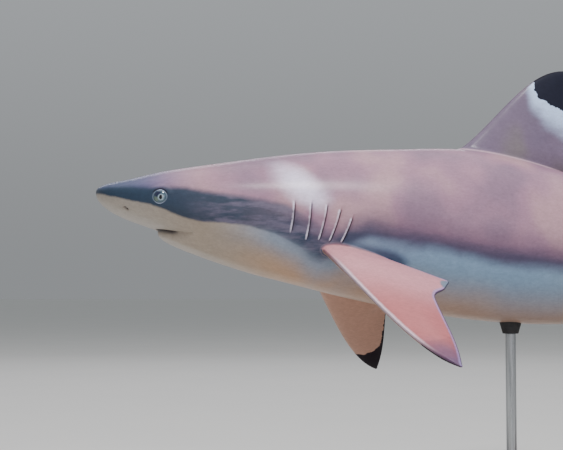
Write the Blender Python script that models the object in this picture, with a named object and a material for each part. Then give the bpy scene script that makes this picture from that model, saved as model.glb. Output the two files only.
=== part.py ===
# Blacktip reef shark, Carcharhinus melanopterus, as a life-size still model on a display stand.
# World frame in metres: +Z up, the head towards -X, the left flank facing -Y. The origin is the
# middle of the underside of the stand's base. The shark is drawn in its own straight frame, in
# hundredths of its total length: distance from the snout tip, to the right, and up.

from math import cos, pi, radians, sin, sqrt

import bmesh
import bpy
import numpy as np
from mathutils import Matrix, Vector

total_length = 1.35
percent = total_length / 100
gap = 0.0004
body_sides = 28
snout_crowding = 1.7

nose_up = radians(5.0)
bank = radians(3.0)
balance_station = 44.0
belly_clearance = 0.200
belly_station = 36.0

# The swimming bend: each entry is the turn in degrees, where it starts and how long it takes.
side_bends = {"trunk": (14.0, 30.0, 35.0), "tail": (-22.0, 62.0, 30.0)}
level_off = (4.0, 42.0, 40.0)

# Distance from the snout tip, then the heights of back and belly, the half width and the height
# of the widest line.
body_stations = {
    "tip": (0.0, 0.0, 0.0, 0.0, 0.0),
    "snout": (1.0, 0.74, -1.28, 2.30, -0.25),
    "nostrils": (2.6, 1.21, -1.95, 3.45, -0.40),
    "eyes": (5.2, 2.08, -2.62, 4.55, -0.45),
    "mouth corners": (8.5, 2.94, -3.75, 5.20, -0.60),
    "throat": (12.0, 3.80, -5.20, 5.50, -0.80),
    "gills": (16.0, 4.72, -5.98, 5.65, -1.00),
    "shoulders": (21.0, 5.58, -6.80, 5.85, -1.20),
    "breast": (26.0, 6.20, -7.42, 5.95, -1.10),
    "first dorsal": (31.0, 6.66, -7.76, 5.85, -0.90),
    "belly": (38.0, 5.92, -7.75, 5.45, -0.90),
    "flank": (44.0, 4.80, -7.05, 4.85, -0.90),
    "pelvic fins": (50.0, 3.92, -5.75, 4.05, -0.70),
    "second dorsal": (62.0, 2.62, -3.20, 2.50, -0.25),
    "tail stalk": (70.0, 2.02, -2.10, 1.60, 0.00),
    "tail root": (76.0, 1.85, -1.62, 1.10, 0.10),
}
back_roundness = {0: 2.2, 8: 2.2, 20: 2.0, 31: 1.9, 76: 2.0}
belly_roundness = {0: 2.3, 8: 2.5, 20: 2.3, 50: 2.2, 76: 2.0}

# Pieces of the body: first station, last station and how many rings each has.
body_pieces = {
    "head": (0.0, 14.9, 20),
    "gills": (14.9, 22.2, 8),
    "trunk_front": (22.2, 45.0, 12),
    "trunk_rear": (45.0, 63.0, 9),
    "tail_stalk": (63.0, 75.6, 7),
}

# The lower jaw: its arch in plan, and how far it hangs below the plane of the snout.
mouth = {
    "front": 5.3,
    "corner": 9.8,
    "arch_power": 2.4,
    "half_width": 4.5,
    "plane": -2.85,
    "back": 12.4,
    "block_depth": 9.0,
}
jaw_drop = {5.3: 0.60, 6.5: 0.90, 8.0: 0.86, 9.7: 0.50, 11.5: 0.12, 12.4: 0.0}

eye = {
    "station": 5.19,
    "height": -0.45,
    "radius": 0.0088,
    "depth": 0.0056,
    "proud": 0.0022,
    "clearance": 0.0003,
}

# Gill slits, front to back: stations and heights of the upper and the lower ends.
gill_slits = [
    (15.9, 0.10, 15.8, -2.5),
    (17.25, 0.20, 17.1, -3.0),
    (18.55, 0.10, 18.1, -2.9),
    (19.65, -0.20, 18.95, -2.95),
    (20.65, -0.70, 19.9, -2.95),
]
slit_bow = 0.25
slit_width = 0.0014
slit_depth = 0.0030
slit_reach = 0.0060

# Fins on the midline: (station, height) of each edge's ends, with its curve controls between.
midline_fins = {
    "first_dorsal_fin": {
        "lead": [(30.4, 6.60), (33.9, 9.40), (36.6, 15.75), (40.9, 14.50)],
        "inner": [(38.9, 5.40), (40.3, 5.62), (41.9, 5.78), (43.3, 5.95)],
        "trail": [(43.3, 5.95), (38.4, 8.20), (42.0, 13.30), (40.9, 14.50)],
        "thickness": 1.35,
    },
    "second_dorsal_fin": {
        "lead": [(62.4, 2.50), (64.2, 4.00), (65.6, 6.80), (68.0, 6.30)],
        "inner": [(67.0, 1.95), (68.2, 2.15), (69.4, 2.35), (70.6, 2.50)],
        "trail": [(70.6, 2.50), (67.2, 3.10), (68.6, 5.50), (68.0, 6.30)],
        "thickness": 0.70,
    },
    "anal_fin": {
        "lead": [(62.0, -3.10), (64.0, -5.20), (65.4, -7.60), (67.6, -7.35)],
        "inner": [(66.6, -2.35), (67.8, -2.65), (68.8, -2.90), (69.9, -3.10)],
        "trail": [(69.9, -3.10), (65.6, -4.10), (68.3, -6.60), (67.6, -7.35)],
        "thickness": 0.70,
    },
}

# Paired fins in their own plane: (back along the root, out from the root).
paired_fins = {
    "pectoral_fin": {
        "lead": [(0.0, 0.0), (3.3, 5.7), (6.2, 13.5), (9.6, 14.8)],
        "inner": [(6.4, 0.25), (7.6, 0.85), (8.8, 1.35), (9.9, 1.8)],
        "trail": [(9.9, 1.8), (7.1, 2.6), (9.9, 9.0), (9.6, 14.8)],
        "thickness": 1.45,
        "root": (18.5, 5.45, -3.64),
    },
    "pelvic_fin": {
        "lead": [(0.0, 0.0), (1.6, 2.3), (3.4, 4.9), (5.6, 5.0)],
        "inner": [(5.1, 0.1), (6.3, 0.4), (7.5, 0.7), (8.6, 0.9)],
        "trail": [(8.6, 0.9), (6.2, 1.6), (6.9, 4.6), (5.6, 5.0)],
        "thickness": 0.75,
        "root": (47.0, 2.95, -4.75),
    },
}
# How each paired fin is held, in degrees: sweep, droop and twist.
fin_set = {
    "pectoral_fin": {"left": (-5.4, 32.0, 4.7), "right": (0.4, 37.0, 0.0)},
    "pelvic_fin": {"left": (-3.0, 38.0, 0.0), "right": (-3.0, 38.0, 0.0)},
}
inner_share = 0.22

# The tail fin, in (station, height). Its two lobes meet along the straight joint.
tail_fin = {
    "upper_lead": [(75.7, 1.85), (82.0, 4.90), (91.5, 11.4), (98.7, 13.6)],
    "joint": [(75.7, -1.62), (82.3, -0.55)],
    "upper_trail": [(82.3, -0.55), (85.4, 0.90), (89.4, 4.70), (93.8, 7.60)],
    "end_lobe": [(93.8, 7.60), (95.6, 6.30), (97.6, 9.20), (98.7, 13.6)],
    "lower_lead": [(75.7, -1.62), (76.8, -4.60), (78.6, -9.60), (81.9, -11.2)],
    "lower_trail": [(82.3, -0.55), (80.6, -3.20), (82.3, -8.20), (81.9, -11.2)],
    "fork": 0.24,
    "notch": 0.77,
    "thickness": 2.1,
    "slimness": 0.62,
    "thinning_power": 1.8,
    "joint_thickness": 0.7,
    "lower_thickness": 1.0,
}

fin_edge = 0.09
fin_slimness = 0.2
tip_thinning = 0.75
tip_share = 0.985
fin_levels = [0.0, 0.07, 0.14, 0.22, 0.32, 0.44, 0.56, 0.68, 0.80, 0.90, 0.96, 1.0]
chord_steps = [0.0, 0.04, 0.14, 0.32, 0.55, 0.80, 1.0]
fin_root_depth = 1.6

# The stand, in metres.
base = {"length": 0.72, "width": 0.26, "height": 0.022, "corner": 0.020, "bevel": 0.003}
rod = {"radius": 0.006, "front": 36.0, "rear": 57.0}
saddle = {"foot": 0.009, "radius": 0.017, "below": 0.012, "above": 0.016}
flange = {"radius": 0.024, "height": 0.006, "bevel": 0.0015}

skin_colour = (0.30, 0.26, 0.25)
eye_colour = (0.03, 0.04, 0.05)
base_colour = (0.10, 0.06, 0.04)
rod_colour = (0.60, 0.60, 0.60)
pad_colour = (0.03, 0.03, 0.03)


def smooth(x):
    x = min(max(x, 0.0), 1.0)
    return x * x * (3 - 2 * x)


def table(values):
    """Straight-line interpolation through a dictionary of position: value."""
    keys = list(values)
    return lambda x: float(np.interp(x, keys, [values[k] for k in keys]))


def spline(xs, ys):
    """A natural cubic spline through the points, as a function."""
    xs = np.array(xs, dtype=float)
    ys = np.array(ys, dtype=float)
    steps = np.diff(xs)
    rates = np.diff(ys) / steps
    count = len(xs)
    system = np.eye(count)
    right = np.zeros(count)
    for i in range(1, count - 1):
        system[i, i - 1 : i + 2] = (steps[i - 1], 2 * (steps[i - 1] + steps[i]), steps[i])
        right[i] = 6 * (rates[i] - rates[i - 1])
    bends = np.linalg.solve(system, right)

    def value(x):
        i = int(np.clip(np.searchsorted(xs, x) - 1, 0, count - 2))
        before = xs[i + 1] - x
        after = x - xs[i]
        step = steps[i]
        curve = (bends[i] * before**3 + bends[i + 1] * after**3) / (6 * step)
        line = (ys[i] / step - bends[i] * step / 6) * before
        return float(curve + line + (ys[i + 1] / step - bends[i + 1] * step / 6) * after)

    return value


def bezier(points, t):
    a, b, c, d = (Vector(p) for p in points)
    u = 1 - t
    return a * u**3 + b * (3 * u * u * t) + c * (3 * u * t * t) + d * t**3


# Body profiles run over the square root of the station, which rounds the snout tip.
rows = list(body_stations.values())
roots = [sqrt(row[0]) for row in rows]
profile = {
    name: spline(roots, [row[i] for row in rows])
    for i, name in enumerate(("back", "belly", "half_width", "widest"), start=1)
}
back_power = table(back_roundness)
belly_power = table(belly_roundness)
jaw_amount = table(jaw_drop)


def at(name, station):
    return profile[name](sqrt(max(station, 0.0)))


def power(value, exponent):
    return abs(value) ** exponent * (1 if value >= 0 else -1)


def section_point(station, turn, grow=0.0, jaw=False):
    """A point of the body's cross section: turn runs from the back, down the left side."""
    back, belly = at("back", station), at("belly", station)
    half, widest = at("half_width", station), at("widest", station)
    up, out = cos(turn), sin(turn)
    exponent = 2 / (back_power(station) if up > 0 else belly_power(station))
    reach = (back - widest if up > 0 else widest - belly) + grow
    across = -(half + grow) * power(out, exponent)
    height = widest + reach * power(up, exponent)
    if jaw and up < 0:
        side = min(abs(across) / mouth["half_width"], 1)
        height -= jaw_amount(station) * (1 - side**4)
    return across, height


def bend_at(station, bend):
    turn, start, length = bend
    return radians(turn) * smooth((station - start) / length)


def spine_table():
    """The swimming curve of the spine, summed in small steps."""
    step = 0.25
    point = Vector()
    places = []
    for i in range(int(110 / step)):
        station = i * step
        yaw = sum(bend_at(station, bend) for bend in side_bends.values())
        rise = bend_at(station, level_off)
        places.append((station, *point, yaw, rise))
        point = point + Vector((cos(yaw) * cos(rise), sin(yaw) * cos(rise), sin(rise))) * step
    return np.array(places)


spine = spine_table()


def in_shark(station, across, height):
    """From (station, across, height) to the bent shark's own frame, in hundredths."""
    x, y, z, yaw, rise = (np.interp(station, spine[:, 0], spine[:, i]) for i in range(1, 6))
    along = Vector((cos(yaw) * cos(rise), sin(yaw) * cos(rise), sin(rise)))
    side = Vector((-sin(yaw), cos(yaw), 0))
    return Vector((x, y, z)) + side * across + along.cross(side) * height


def world_matrix():
    """Nose up, banked to the right, and set over the stand."""
    turned = Matrix.Rotation(nose_up, 4, "Y") @ Matrix.Rotation(-bank, 4, "X")
    middle = turned @ in_shark(balance_station, 0, 0) * percent
    belly = turned @ in_shark(belly_station, 0, at("belly", belly_station)) * percent
    lift = belly_clearance - belly.z
    return Matrix.Translation((-middle.x, -middle.y, lift)) @ turned


world = world_matrix()


def place(station, across, height):
    return world @ (in_shark(station, across, height) * percent)


def principled(name, colour, roughness, metallic=0.0):
    material = bpy.data.materials.get(name) or bpy.data.materials.new(name)
    material.use_nodes = True
    shader = material.node_tree.nodes["Principled BSDF"]
    shader.inputs["Base Color"].default_value = (*colour, 1)
    shader.inputs["Roughness"].default_value = roughness
    shader.inputs["Metallic"].default_value = metallic
    return material


def finish(name, bm, material=None, smooth_angle=50):
    """Turn a bmesh into a named object; with no material it is a hidden cutter."""
    bmesh.ops.recalc_face_normals(bm, faces=bm.faces)
    mesh = bpy.data.meshes.new(name)
    bm.to_mesh(mesh)
    bm.free()
    piece = bpy.data.objects.new(name, mesh)
    bpy.context.collection.objects.link(piece)
    if material:
        mesh.materials.append(material)
        mesh.shade_smooth()
        mesh.set_sharp_from_angle(angle=radians(smooth_angle))
    else:
        piece.hide_render = True
        piece.display_type = "WIRE"
    return piece


def cut(piece, cutter, operation="DIFFERENCE"):
    modifier = piece.modifiers.new(cutter.name, "BOOLEAN")
    modifier.object = cutter
    modifier.operation = operation
    modifier.solver = "EXACT"


def loft(rings):
    """A closed skin over rings of equally many points, with flat ends."""
    sides = len(rings[0])
    bm = bmesh.new()
    bmesh.ops.create_grid(bm, x_segments=sides, y_segments=len(rings) - 1, size=1)
    bm.verts.ensure_lookup_table()
    for i, vert in enumerate(bm.verts):
        row, column = divmod(i, sides + 1)
        vert.co = rings[row][column % sides]
    bmesh.ops.remove_doubles(bm, verts=bm.verts, dist=1e-6)
    ends = [edge for edge in bm.edges if edge.is_boundary]
    bmesh.ops.holes_fill(bm, edges=ends, sides=0)
    return bm


def stations_between(first, last, count):
    """Stations from first to last: crowded at the snout's tip, even further back."""
    if first > 0:
        return [first + (last - first) * i / (count - 1) for i in range(count)]
    return [last * (i / (count - 1)) ** snout_crowding for i in range(count)]


def body_ring(station, grow, jaw):
    turns = [2 * pi * i / body_sides for i in range(body_sides)]
    return [place(station, *section_point(station, turn, grow, jaw)) for turn in turns]


def body_solid(first, last, count, grow=0.0, jaw=False):
    stations = stations_between(first, last, count)
    return loft([body_ring(station, grow, jaw) for station in stations])


def mouth_block(name, inset):
    """An arch-shaped block under the mouth's plane, with a gap to its twin by its inset."""
    half, back = mouth["half_width"] - inset, mouth["back"] - inset
    depth = mouth["corner"] - mouth["front"]
    sides = [i / 8 - 1 for i in range(17)]
    outline = [
        (mouth["front"] + inset + depth * abs(side) ** mouth["arch_power"], half * side)
        for side in sides
    ]
    outline += [(back, half), (back, -half)]
    bm = bmesh.new()
    top = [bm.verts.new(place(station, y, mouth["plane"] - inset)) for station, y in outline]
    face = bm.faces.new(top)
    extruded = bmesh.ops.extrude_face_region(bm, geom=[face])
    moved = [item for item in extruded["geom"] if isinstance(item, bmesh.types.BMVert)]
    down = place(mouth["corner"], 0, -mouth["block_depth"]) - place(mouth["corner"], 0, 0)
    bmesh.ops.translate(bm, verts=moved, vec=down)
    return finish(name, bm)


def make_body(skin):
    pieces = {}
    half_gap = gap / percent / 2
    for name, (first, last, count) in body_pieces.items():
        start = first + half_gap if first else 0.0
        pieces[name] = finish(name, body_solid(start, last - half_gap, count), skin)
    jaw_end = body_pieces["head"][1] - half_gap
    jaw = finish("lower_jaw", body_solid(mouth["front"] - 1, jaw_end, 12, jaw=True), skin)
    cut(pieces["head"], mouth_block("mouth_space", 0.0))
    cut(jaw, mouth_block("jaw_block", gap / percent), "INTERSECT")
    return pieces


def surface_turn(station, height):
    """The turn at which the left side's section reaches a height."""
    low, high = 0.02, pi - 0.02
    for _ in range(30):
        middle = (low + high) / 2
        if section_point(station, middle)[1] > height:
            low = middle
        else:
            high = middle
    return low


def side_point(station, height, side, out=0.0):
    """A point of the flank at a station and height; side is -1 on the left, 1 on the right."""
    across, up = section_point(station, surface_turn(station, height), out)
    return place(station, -across * side, up)


def make_gill_slits(gills):
    for side, word in ((-1, "left"), (1, "right")):
        for number, (top_at, top, low_at, low) in enumerate(gill_slits, start=1):
            steps = 6
            bm = bmesh.new()
            bmesh.ops.create_grid(bm, x_segments=steps - 1, y_segments=1, size=1)
            bm.verts.ensure_lookup_table()
            for i, vert in enumerate(bm.verts):
                row, column = divmod(i, steps)
                share = column / (steps - 1)
                station = top_at + (low_at - top_at) * share + slit_bow * sin(pi * share)
                depth = (slit_reach if row else -slit_depth) / percent
                vert.co = side_point(station, top + (low - top) * share, side, depth)
            cutter = finish(f"gill_slit_{word}_{number}", bm)
            wall = cutter.modifiers.new("width", "SOLIDIFY")
            wall.thickness = slit_width
            wall.offset = 0
            cut(gills, cutter)


def make_eyes(head, material):
    for side, word in ((-1, "left"), (1, "right")):
        centre = side_point(eye["station"], eye["height"], side)
        ahead = side_point(eye["station"] - 0.6, eye["height"], side)
        behind = side_point(eye["station"] + 0.6, eye["height"], side)
        above = side_point(eye["station"], eye["height"] + 0.4, side)
        below = side_point(eye["station"], eye["height"] - 0.4, side)
        outward = (behind - ahead).cross(above - below).normalized()
        if outward.y * side < 0:
            outward = -outward
        turn = outward.to_track_quat("Z", "Y").to_matrix().to_4x4()
        heart = centre + outward * (eye["proud"] - eye["depth"])
        for name, extra in ((f"eye_{word}", 0.0), (f"eye_socket_{word}", eye["clearance"])):
            bm = bmesh.new()
            bmesh.ops.create_uvsphere(bm, u_segments=16, v_segments=10, radius=1)
            reach = (eye["radius"] + extra, eye["radius"] + extra, eye["depth"] + extra)
            bmesh.ops.scale(bm, vec=reach, verts=bm.verts)
            bmesh.ops.transform(bm, matrix=Matrix.Translation(heart) @ turn, verts=bm.verts)
            ball = finish(name, bm, None if extra else material)
            if extra:
                cut(head, ball)


def aerofoil(share):
    # Half thickness along a chord, 1 at its fullest: round in front and thin behind.
    return 2.6 * sqrt(share) * (1 - share)


def even_blade(share, level):
    return aerofoil(share)


def fin_solid(lead, trail, put, fullness, root_shift, outline=even_blade, slimness=fin_slimness):
    """A fin between two edges, each a function of 0..1 from root to tip in the fin's plane."""
    rings = []
    for level, shift in [(0.0, root_shift)] + [(level, Vector((0, 0))) for level in fin_levels]:
        front, rear = lead(level) + shift, trail(level) + shift
        half = min(fullness(level), slimness * (rear - front).length) / 2
        near, far = [], []
        for share in chord_steps:
            rim = fin_edge / 2 * min(share / chord_steps[1], 1)
            swell = half * outline(share, level) + rim
            near.append(put(front.lerp(rear, share), swell))
            far.append(put(front.lerp(rear, share), -swell))
        rings.append(near + far[:0:-1])
    return loft(rings)


def fin_edges(fin):
    """The edges of a fin whose trailing edge starts along the free inner margin."""

    def lead(t):
        return bezier(fin["lead"], tip_share * t)

    def trail(t):
        if t < inner_share:
            return bezier(fin["inner"], t / inner_share)
        return bezier(fin["trail"], tip_share * (t - inner_share) / (1 - inner_share))

    return lead, trail


def taper(full):
    return lambda level: full * (1 - tip_thinning * level)


def on_midline(point, across):
    return place(point.x, across, point.y)


def body_cutter(name, first, last):
    count = 2 + int((last - first) / 0.9)
    return finish(name, body_solid(first, last, count, gap / percent))


def make_midline_fins(skin):
    for name, fin in midline_fins.items():
        down = Vector((0, -fin_root_depth if fin["lead"][3][1] > 0 else fin_root_depth))
        piece = finish(name, fin_solid(*fin_edges(fin), on_midline, taper(fin["thickness"]), down), skin)
        cut(piece, body_cutter(f"{name}_root", fin["lead"][0][0] - 2, fin["trail"][0][0] + 2))


def make_paired_fins(skin):
    inward = Vector((0, -fin_root_depth))
    for name, fin in paired_fins.items():
        for word, side in (("left", -1), ("right", 1)):
            sweep, droop, twist = (radians(angle) for angle in fin_set[name][word])
            turn = Matrix.Rotation(sweep, 3, "Z") @ Matrix.Rotation(droop, 3, "X")
            turn = turn @ Matrix.Rotation(twist, 3, "Y")
            station, out, height = fin["root"]

            def put(point, above):
                local = turn @ Vector((point.x, -point.y, above))
                return place(station + local.x, side * (out - local.y), height + local.z)

            bm = fin_solid(*fin_edges(fin), put, taper(fin["thickness"]), inward)
            piece = finish(f"{name}_{word}", bm, skin)
            last = station + fin["trail"][0][0] + 2
            cut(piece, body_cutter(f"{name}_{word}_root", station - 2, last))


def make_tail_fin(skin):
    fork, notch = tail_fin["fork"], tail_fin["notch"]
    joint_front, joint_rear = (Vector(point) for point in tail_fin["joint"])
    none = Vector((0, 0))
    half_gap = Vector((0, gap / percent / 2))

    def upper_lead(t):
        return bezier(tail_fin["upper_lead"], tip_share * t)

    def upper_trail(t):
        if t < fork:
            return joint_front.lerp(joint_rear, t / fork) + half_gap
        if t < notch:
            return bezier(tail_fin["upper_trail"], (t - fork) / (notch - fork)) + half_gap
        return bezier(tail_fin["end_lobe"], tip_share * (t - notch) / (1 - notch)) + half_gap

    def stalk_to_blade(share, level):
        # An oval where the lobe grows out of the stalk, an aerofoil beyond the fork.
        blend = smooth(level / fork)
        oval = 2 * sqrt(share * (1 - share))
        web = tail_fin["joint_thickness"] / tail_fin["thickness"] * share * (1 - blend)
        return oval * (1 - blend) + aerofoil(share) * blend + web

    def upper_fullness(level):
        return tail_fin["thickness"] * (1 - level) ** tail_fin["thinning_power"]

    slimness = tail_fin["slimness"]
    bm = fin_solid(upper_lead, upper_trail, on_midline, upper_fullness, none, stalk_to_blade, slimness)
    finish("caudal_upper_lobe", bm, skin)

    def lower_lead(t):
        return bezier(tail_fin["lower_lead"], tip_share * t) - half_gap

    def lower_trail(t):
        return bezier(tail_fin["lower_trail"], tip_share * t) - half_gap

    lower_fullness = taper(tail_fin["lower_thickness"])
    bm = fin_solid(lower_lead, lower_trail, on_midline, lower_fullness, none)
    finish("caudal_lower_lobe", bm, skin)


def make_base(material):
    bm = bmesh.new()
    bmesh.ops.create_cube(bm, size=1)
    size = Vector((base["length"], base["width"], base["height"]))
    bmesh.ops.scale(bm, vec=size, verts=bm.verts)
    bmesh.ops.translate(bm, vec=(0, 0, base["height"] / 2), verts=bm.verts)
    uprights = [edge for edge in bm.edges if abs(edge.verts[0].co.z - edge.verts[1].co.z) > 0.001]
    bmesh.ops.bevel(bm, geom=uprights, offset=base["corner"], segments=6, affect="EDGES", profile=0.5)
    rim = [edge for edge in bm.edges if all(vert.co.z > 0.001 for vert in edge.verts)]
    bmesh.ops.bevel(bm, geom=rim, offset=base["bevel"], segments=2, affect="EDGES", profile=0.5)
    finish("stand_base", bm, material, 35)


def cone(bottom, top, foot, head, sides=24):
    bm = bmesh.new()
    middle = (bottom + top) / 2
    bmesh.ops.create_cone(
        bm, cap_ends=True, segments=sides, radius1=foot, radius2=head, depth=(top - bottom).length,
        matrix=Matrix.Translation(middle),
    )
    return bm


def make_flange(name, foot, material):
    inner = rod["radius"] + gap
    outer, height, bevel = flange["radius"], flange["height"], flange["bevel"]
    profile = [(inner, 0), (outer, 0), (outer, height - bevel), (outer - bevel, height), (inner, height)]
    bm = bmesh.new()
    corners = [bm.verts.new(foot + Vector((r, 0, z))) for r, z in profile]
    sides = [bm.edges.new(pair) for pair in zip(corners, corners[1:] + corners[:1])]
    bmesh.ops.spin(bm, geom=corners + sides, cent=foot, axis=(0, 0, 1), angle=2 * pi, steps=28)
    bmesh.ops.remove_doubles(bm, verts=bm.verts, dist=1e-6)
    finish(name, bm, material, 35)


def make_stand(wood, steel, pad):
    make_base(wood)
    up = Vector((0, 0, 1))
    for word in ("front", "rear"):
        station = rod[word]
        touch = place(station, 0, at("belly", station))
        foot = Vector((touch.x, touch.y, base["height"] + gap))
        neck = touch - up * saddle["below"]
        cup = cone(neck, touch + up * saddle["above"], saddle["foot"], saddle["radius"])
        holder = finish(f"stand_saddle_{word}", cup, pad)
        cut(holder, body_cutter(f"stand_saddle_{word}_seat", station - 4, station + 4))
        finish(f"stand_rod_{word}", cone(foot, neck - up * gap, rod["radius"], rod["radius"]), steel)
        make_flange(f"stand_flange_{word}", foot, steel)


def main():
    for leftover in list(bpy.data.objects):
        bpy.data.objects.remove(leftover, do_unlink=True)
    skin = principled("shark_skin", skin_colour, 0.45)
    body = make_body(skin)
    make_gill_slits(body["gills"])
    make_eyes(body["head"], principled("shark_eye", eye_colour, 0.08))
    make_midline_fins(skin)
    make_paired_fins(skin)
    make_tail_fin(skin)
    make_stand(
        principled("stand_wood", base_colour, 0.40),
        principled("stand_steel", rod_colour, 0.30, 1.0),
        principled("stand_pad", pad_colour, 0.70),
    )


main()
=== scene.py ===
# Blacktip reef shark, life size, held still on a display stand.
# Body places are (station, across, height) in hundredths of the total length: from the snout
# tip backwards, to the shark's right, and up. They are bent and turned to metres at the end.
from math import cos, pi, radians, sin, sqrt

import bmesh
import bpy
import numpy as np
from mathutils import Matrix, Vector


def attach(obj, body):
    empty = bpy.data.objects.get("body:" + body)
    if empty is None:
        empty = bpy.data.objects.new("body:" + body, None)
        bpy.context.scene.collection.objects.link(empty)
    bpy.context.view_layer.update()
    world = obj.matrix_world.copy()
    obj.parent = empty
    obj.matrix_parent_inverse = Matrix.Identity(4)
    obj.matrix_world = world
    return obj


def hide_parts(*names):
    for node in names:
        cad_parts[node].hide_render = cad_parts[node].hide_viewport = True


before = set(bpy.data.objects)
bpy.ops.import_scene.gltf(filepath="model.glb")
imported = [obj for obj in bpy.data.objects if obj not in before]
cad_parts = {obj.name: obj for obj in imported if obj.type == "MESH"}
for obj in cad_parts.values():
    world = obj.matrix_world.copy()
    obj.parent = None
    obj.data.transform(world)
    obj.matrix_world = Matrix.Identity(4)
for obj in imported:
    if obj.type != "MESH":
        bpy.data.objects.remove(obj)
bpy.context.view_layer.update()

# ---- the swimming body's form

bodyForm = {
    "totalLength": 1.35,
    "noseUp": 5.0,
    "bank": 3.0,
    "balanceStation": 44.0,
    "bellyClearance": 0.200,
    "bellyStation": 36.0,
    # turn in degrees, first station, stations it takes
    "sideBends": [(14.0, 30.0, 35.0), (-22.0, 62.0, 30.0)],
    "levelOff": (4.0, 42.0, 40.0),
    # station: back, belly, half width, height of the widest line
    "sections": {
        0.0: (0.0, 0.0, 0.0, 0.0),
        1.0: (0.74, -1.28, 2.30, -0.25),
        2.6: (1.21, -1.95, 3.45, -0.40),
        5.2: (2.08, -2.62, 4.55, -0.45),
        8.5: (2.94, -3.75, 5.20, -0.60),
        12.0: (3.80, -5.20, 5.50, -0.80),
        16.0: (4.72, -5.98, 5.65, -1.00),
        21.0: (5.58, -6.80, 5.85, -1.20),
        26.0: (6.20, -7.42, 5.95, -1.10),
        31.0: (6.66, -7.76, 5.85, -0.90),
        38.0: (5.92, -7.75, 5.45, -0.90),
        44.0: (4.80, -7.05, 4.85, -0.90),
        50.0: (3.92, -5.75, 4.05, -0.70),
        62.0: (2.62, -3.20, 2.50, -0.25),
        70.0: (2.02, -2.10, 1.60, 0.00),
        76.0: (1.85, -1.62, 1.10, 0.10),
    },
    "backRoundness": {0: 2.2, 8: 2.2, 20: 2.0, 31: 1.9, 76: 2.0},
    "bellyRoundness": {0: 2.3, 8: 2.5, 20: 2.3, 50: 2.2, 76: 2.0},
}
percent = bodyForm["totalLength"] / 100
oneMm = 0.001 / percent  # a millimetre, in hundredths of the length


def smoothStep(x):
    x = np.clip(x, 0.0, 1.0)
    return x * x * (3 - 2 * x)


def straightTable(values):
    keys = sorted(values)
    return lambda x: np.interp(x, keys, [values[k] for k in keys])


def splineThrough(xs, ys):
    # a natural cubic spline, as a function of an array
    xs, ys = np.array(xs, float), np.array(ys, float)
    steps = np.diff(xs)
    rates = np.diff(ys) / steps
    count = len(xs)
    system = np.eye(count)
    right = np.zeros(count)
    for i in range(1, count - 1):
        system[i, i - 1 : i + 2] = (steps[i - 1], 2 * (steps[i - 1] + steps[i]), steps[i])
        right[i] = 6 * (rates[i] - rates[i - 1])
    bends = np.linalg.solve(system, right)

    def value(x):
        i = np.clip(np.searchsorted(xs, x) - 1, 0, count - 2)
        before, after, step = xs[i + 1] - x, x - xs[i], steps[i]
        curve = (bends[i] * before**3 + bends[i + 1] * after**3) / (6 * step)
        line = (ys[i] / step - bends[i] * step / 6) * before
        return curve + line + (ys[i + 1] / step - bends[i + 1] * step / 6) * after

    return value


sectionRoots = [sqrt(station) for station in bodyForm["sections"]]
backLine, bellyLine, halfWidth, widestLine = (
    splineThrough(sectionRoots, [row[i] for row in bodyForm["sections"].values()])
    for i in range(4)
)
backPower = straightTable(bodyForm["backRoundness"])
bellyPower = straightTable(bodyForm["bellyRoundness"])


def signedPower(value, exponent):
    return np.sign(value) * np.abs(value) ** exponent


def sectionSizes(station, above):
    root = np.sqrt(np.maximum(station, 0.0))
    widest = widestLine(root)
    reach = np.where(above, backLine(root) - widest, widest - bellyLine(root))
    return halfWidth(root), widest, reach, np.where(above, backPower(station), bellyPower(station))


def onSection(station, turn):
    # turn runs from the back (0), down the left side, under the belly (pi) and up the right
    out, up = np.sin(turn), np.cos(turn)
    half, widest, reach, power = sectionSizes(station, up > 0)
    return -half * signedPower(out, 2 / power), widest + reach * signedPower(up, 2 / power)


def turnTowards(station, across, height):
    # the turn at which a ray from the section's heart through a place leaves the body,
    # and how far out the place is: below 0 inside, above 0 outside
    root = np.sqrt(np.maximum(station, 0.0))
    above = height > widestLine(root)
    half, widest, reach, power = sectionSizes(station, above)
    out = np.abs(across / half) ** power
    up = np.abs((height - widest) / reach) ** power
    turn = np.arctan2(np.sqrt(out) * np.where(across < 0, 1, -1), np.sqrt(up) * np.where(above, 1, -1))
    return turn % (2 * pi), out + up - 1


def spineTable():
    # the bent middle line, worked out a little past the tail's tip
    step, end = 0.25, 110.0
    point = np.zeros(3)
    rows = []
    for i in range(int(end / step)):
        station = i * step
        yaw = sum(radians(t) * smoothStep((station - a) / n) for t, a, n in bodyForm["sideBends"])
        turn, first, length = bodyForm["levelOff"]
        rise = radians(turn) * smoothStep((station - first) / length)
        rows.append((station, *point, yaw, rise))
        point = point + np.array((cos(yaw) * cos(rise), sin(yaw) * cos(rise), sin(rise))) * step
    return np.array(rows)


spine = spineTable()


def alongSpine(station, across, height):
    station, across, height = np.broadcast_arrays(station, across, height)
    x, y, z, yaw, rise = (np.interp(station, spine[:, 0], spine[:, i]) for i in range(1, 6))
    along = np.stack([np.cos(yaw) * np.cos(rise), np.sin(yaw) * np.cos(rise), np.sin(rise)], -1)
    aside = np.stack([-np.sin(yaw), np.cos(yaw), 0 * yaw], -1)
    upward = np.cross(along, aside)
    return np.stack([x, y, z], -1) + aside * across[..., None] + upward * height[..., None]


def modelPose():
    turned = Matrix.Rotation(radians(bodyForm["noseUp"]), 3, "Y")
    turned = np.array(turned @ Matrix.Rotation(-radians(bodyForm["bank"]), 3, "X"))
    middle = turned @ alongSpine(bodyForm["balanceStation"], 0.0, 0.0) * percent
    under = bodyForm["bellyStation"]
    belly = turned @ alongSpine(under, 0.0, bellyLine(sqrt(under))) * percent
    return turned, np.array((-middle[0], -middle[1], bodyForm["bellyClearance"] - belly[2]))


poseTurn, poseShift = modelPose()


def toWorld(station, across, height):
    return alongSpine(station, across, height) * percent @ poseTurn.T + poseShift


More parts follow.
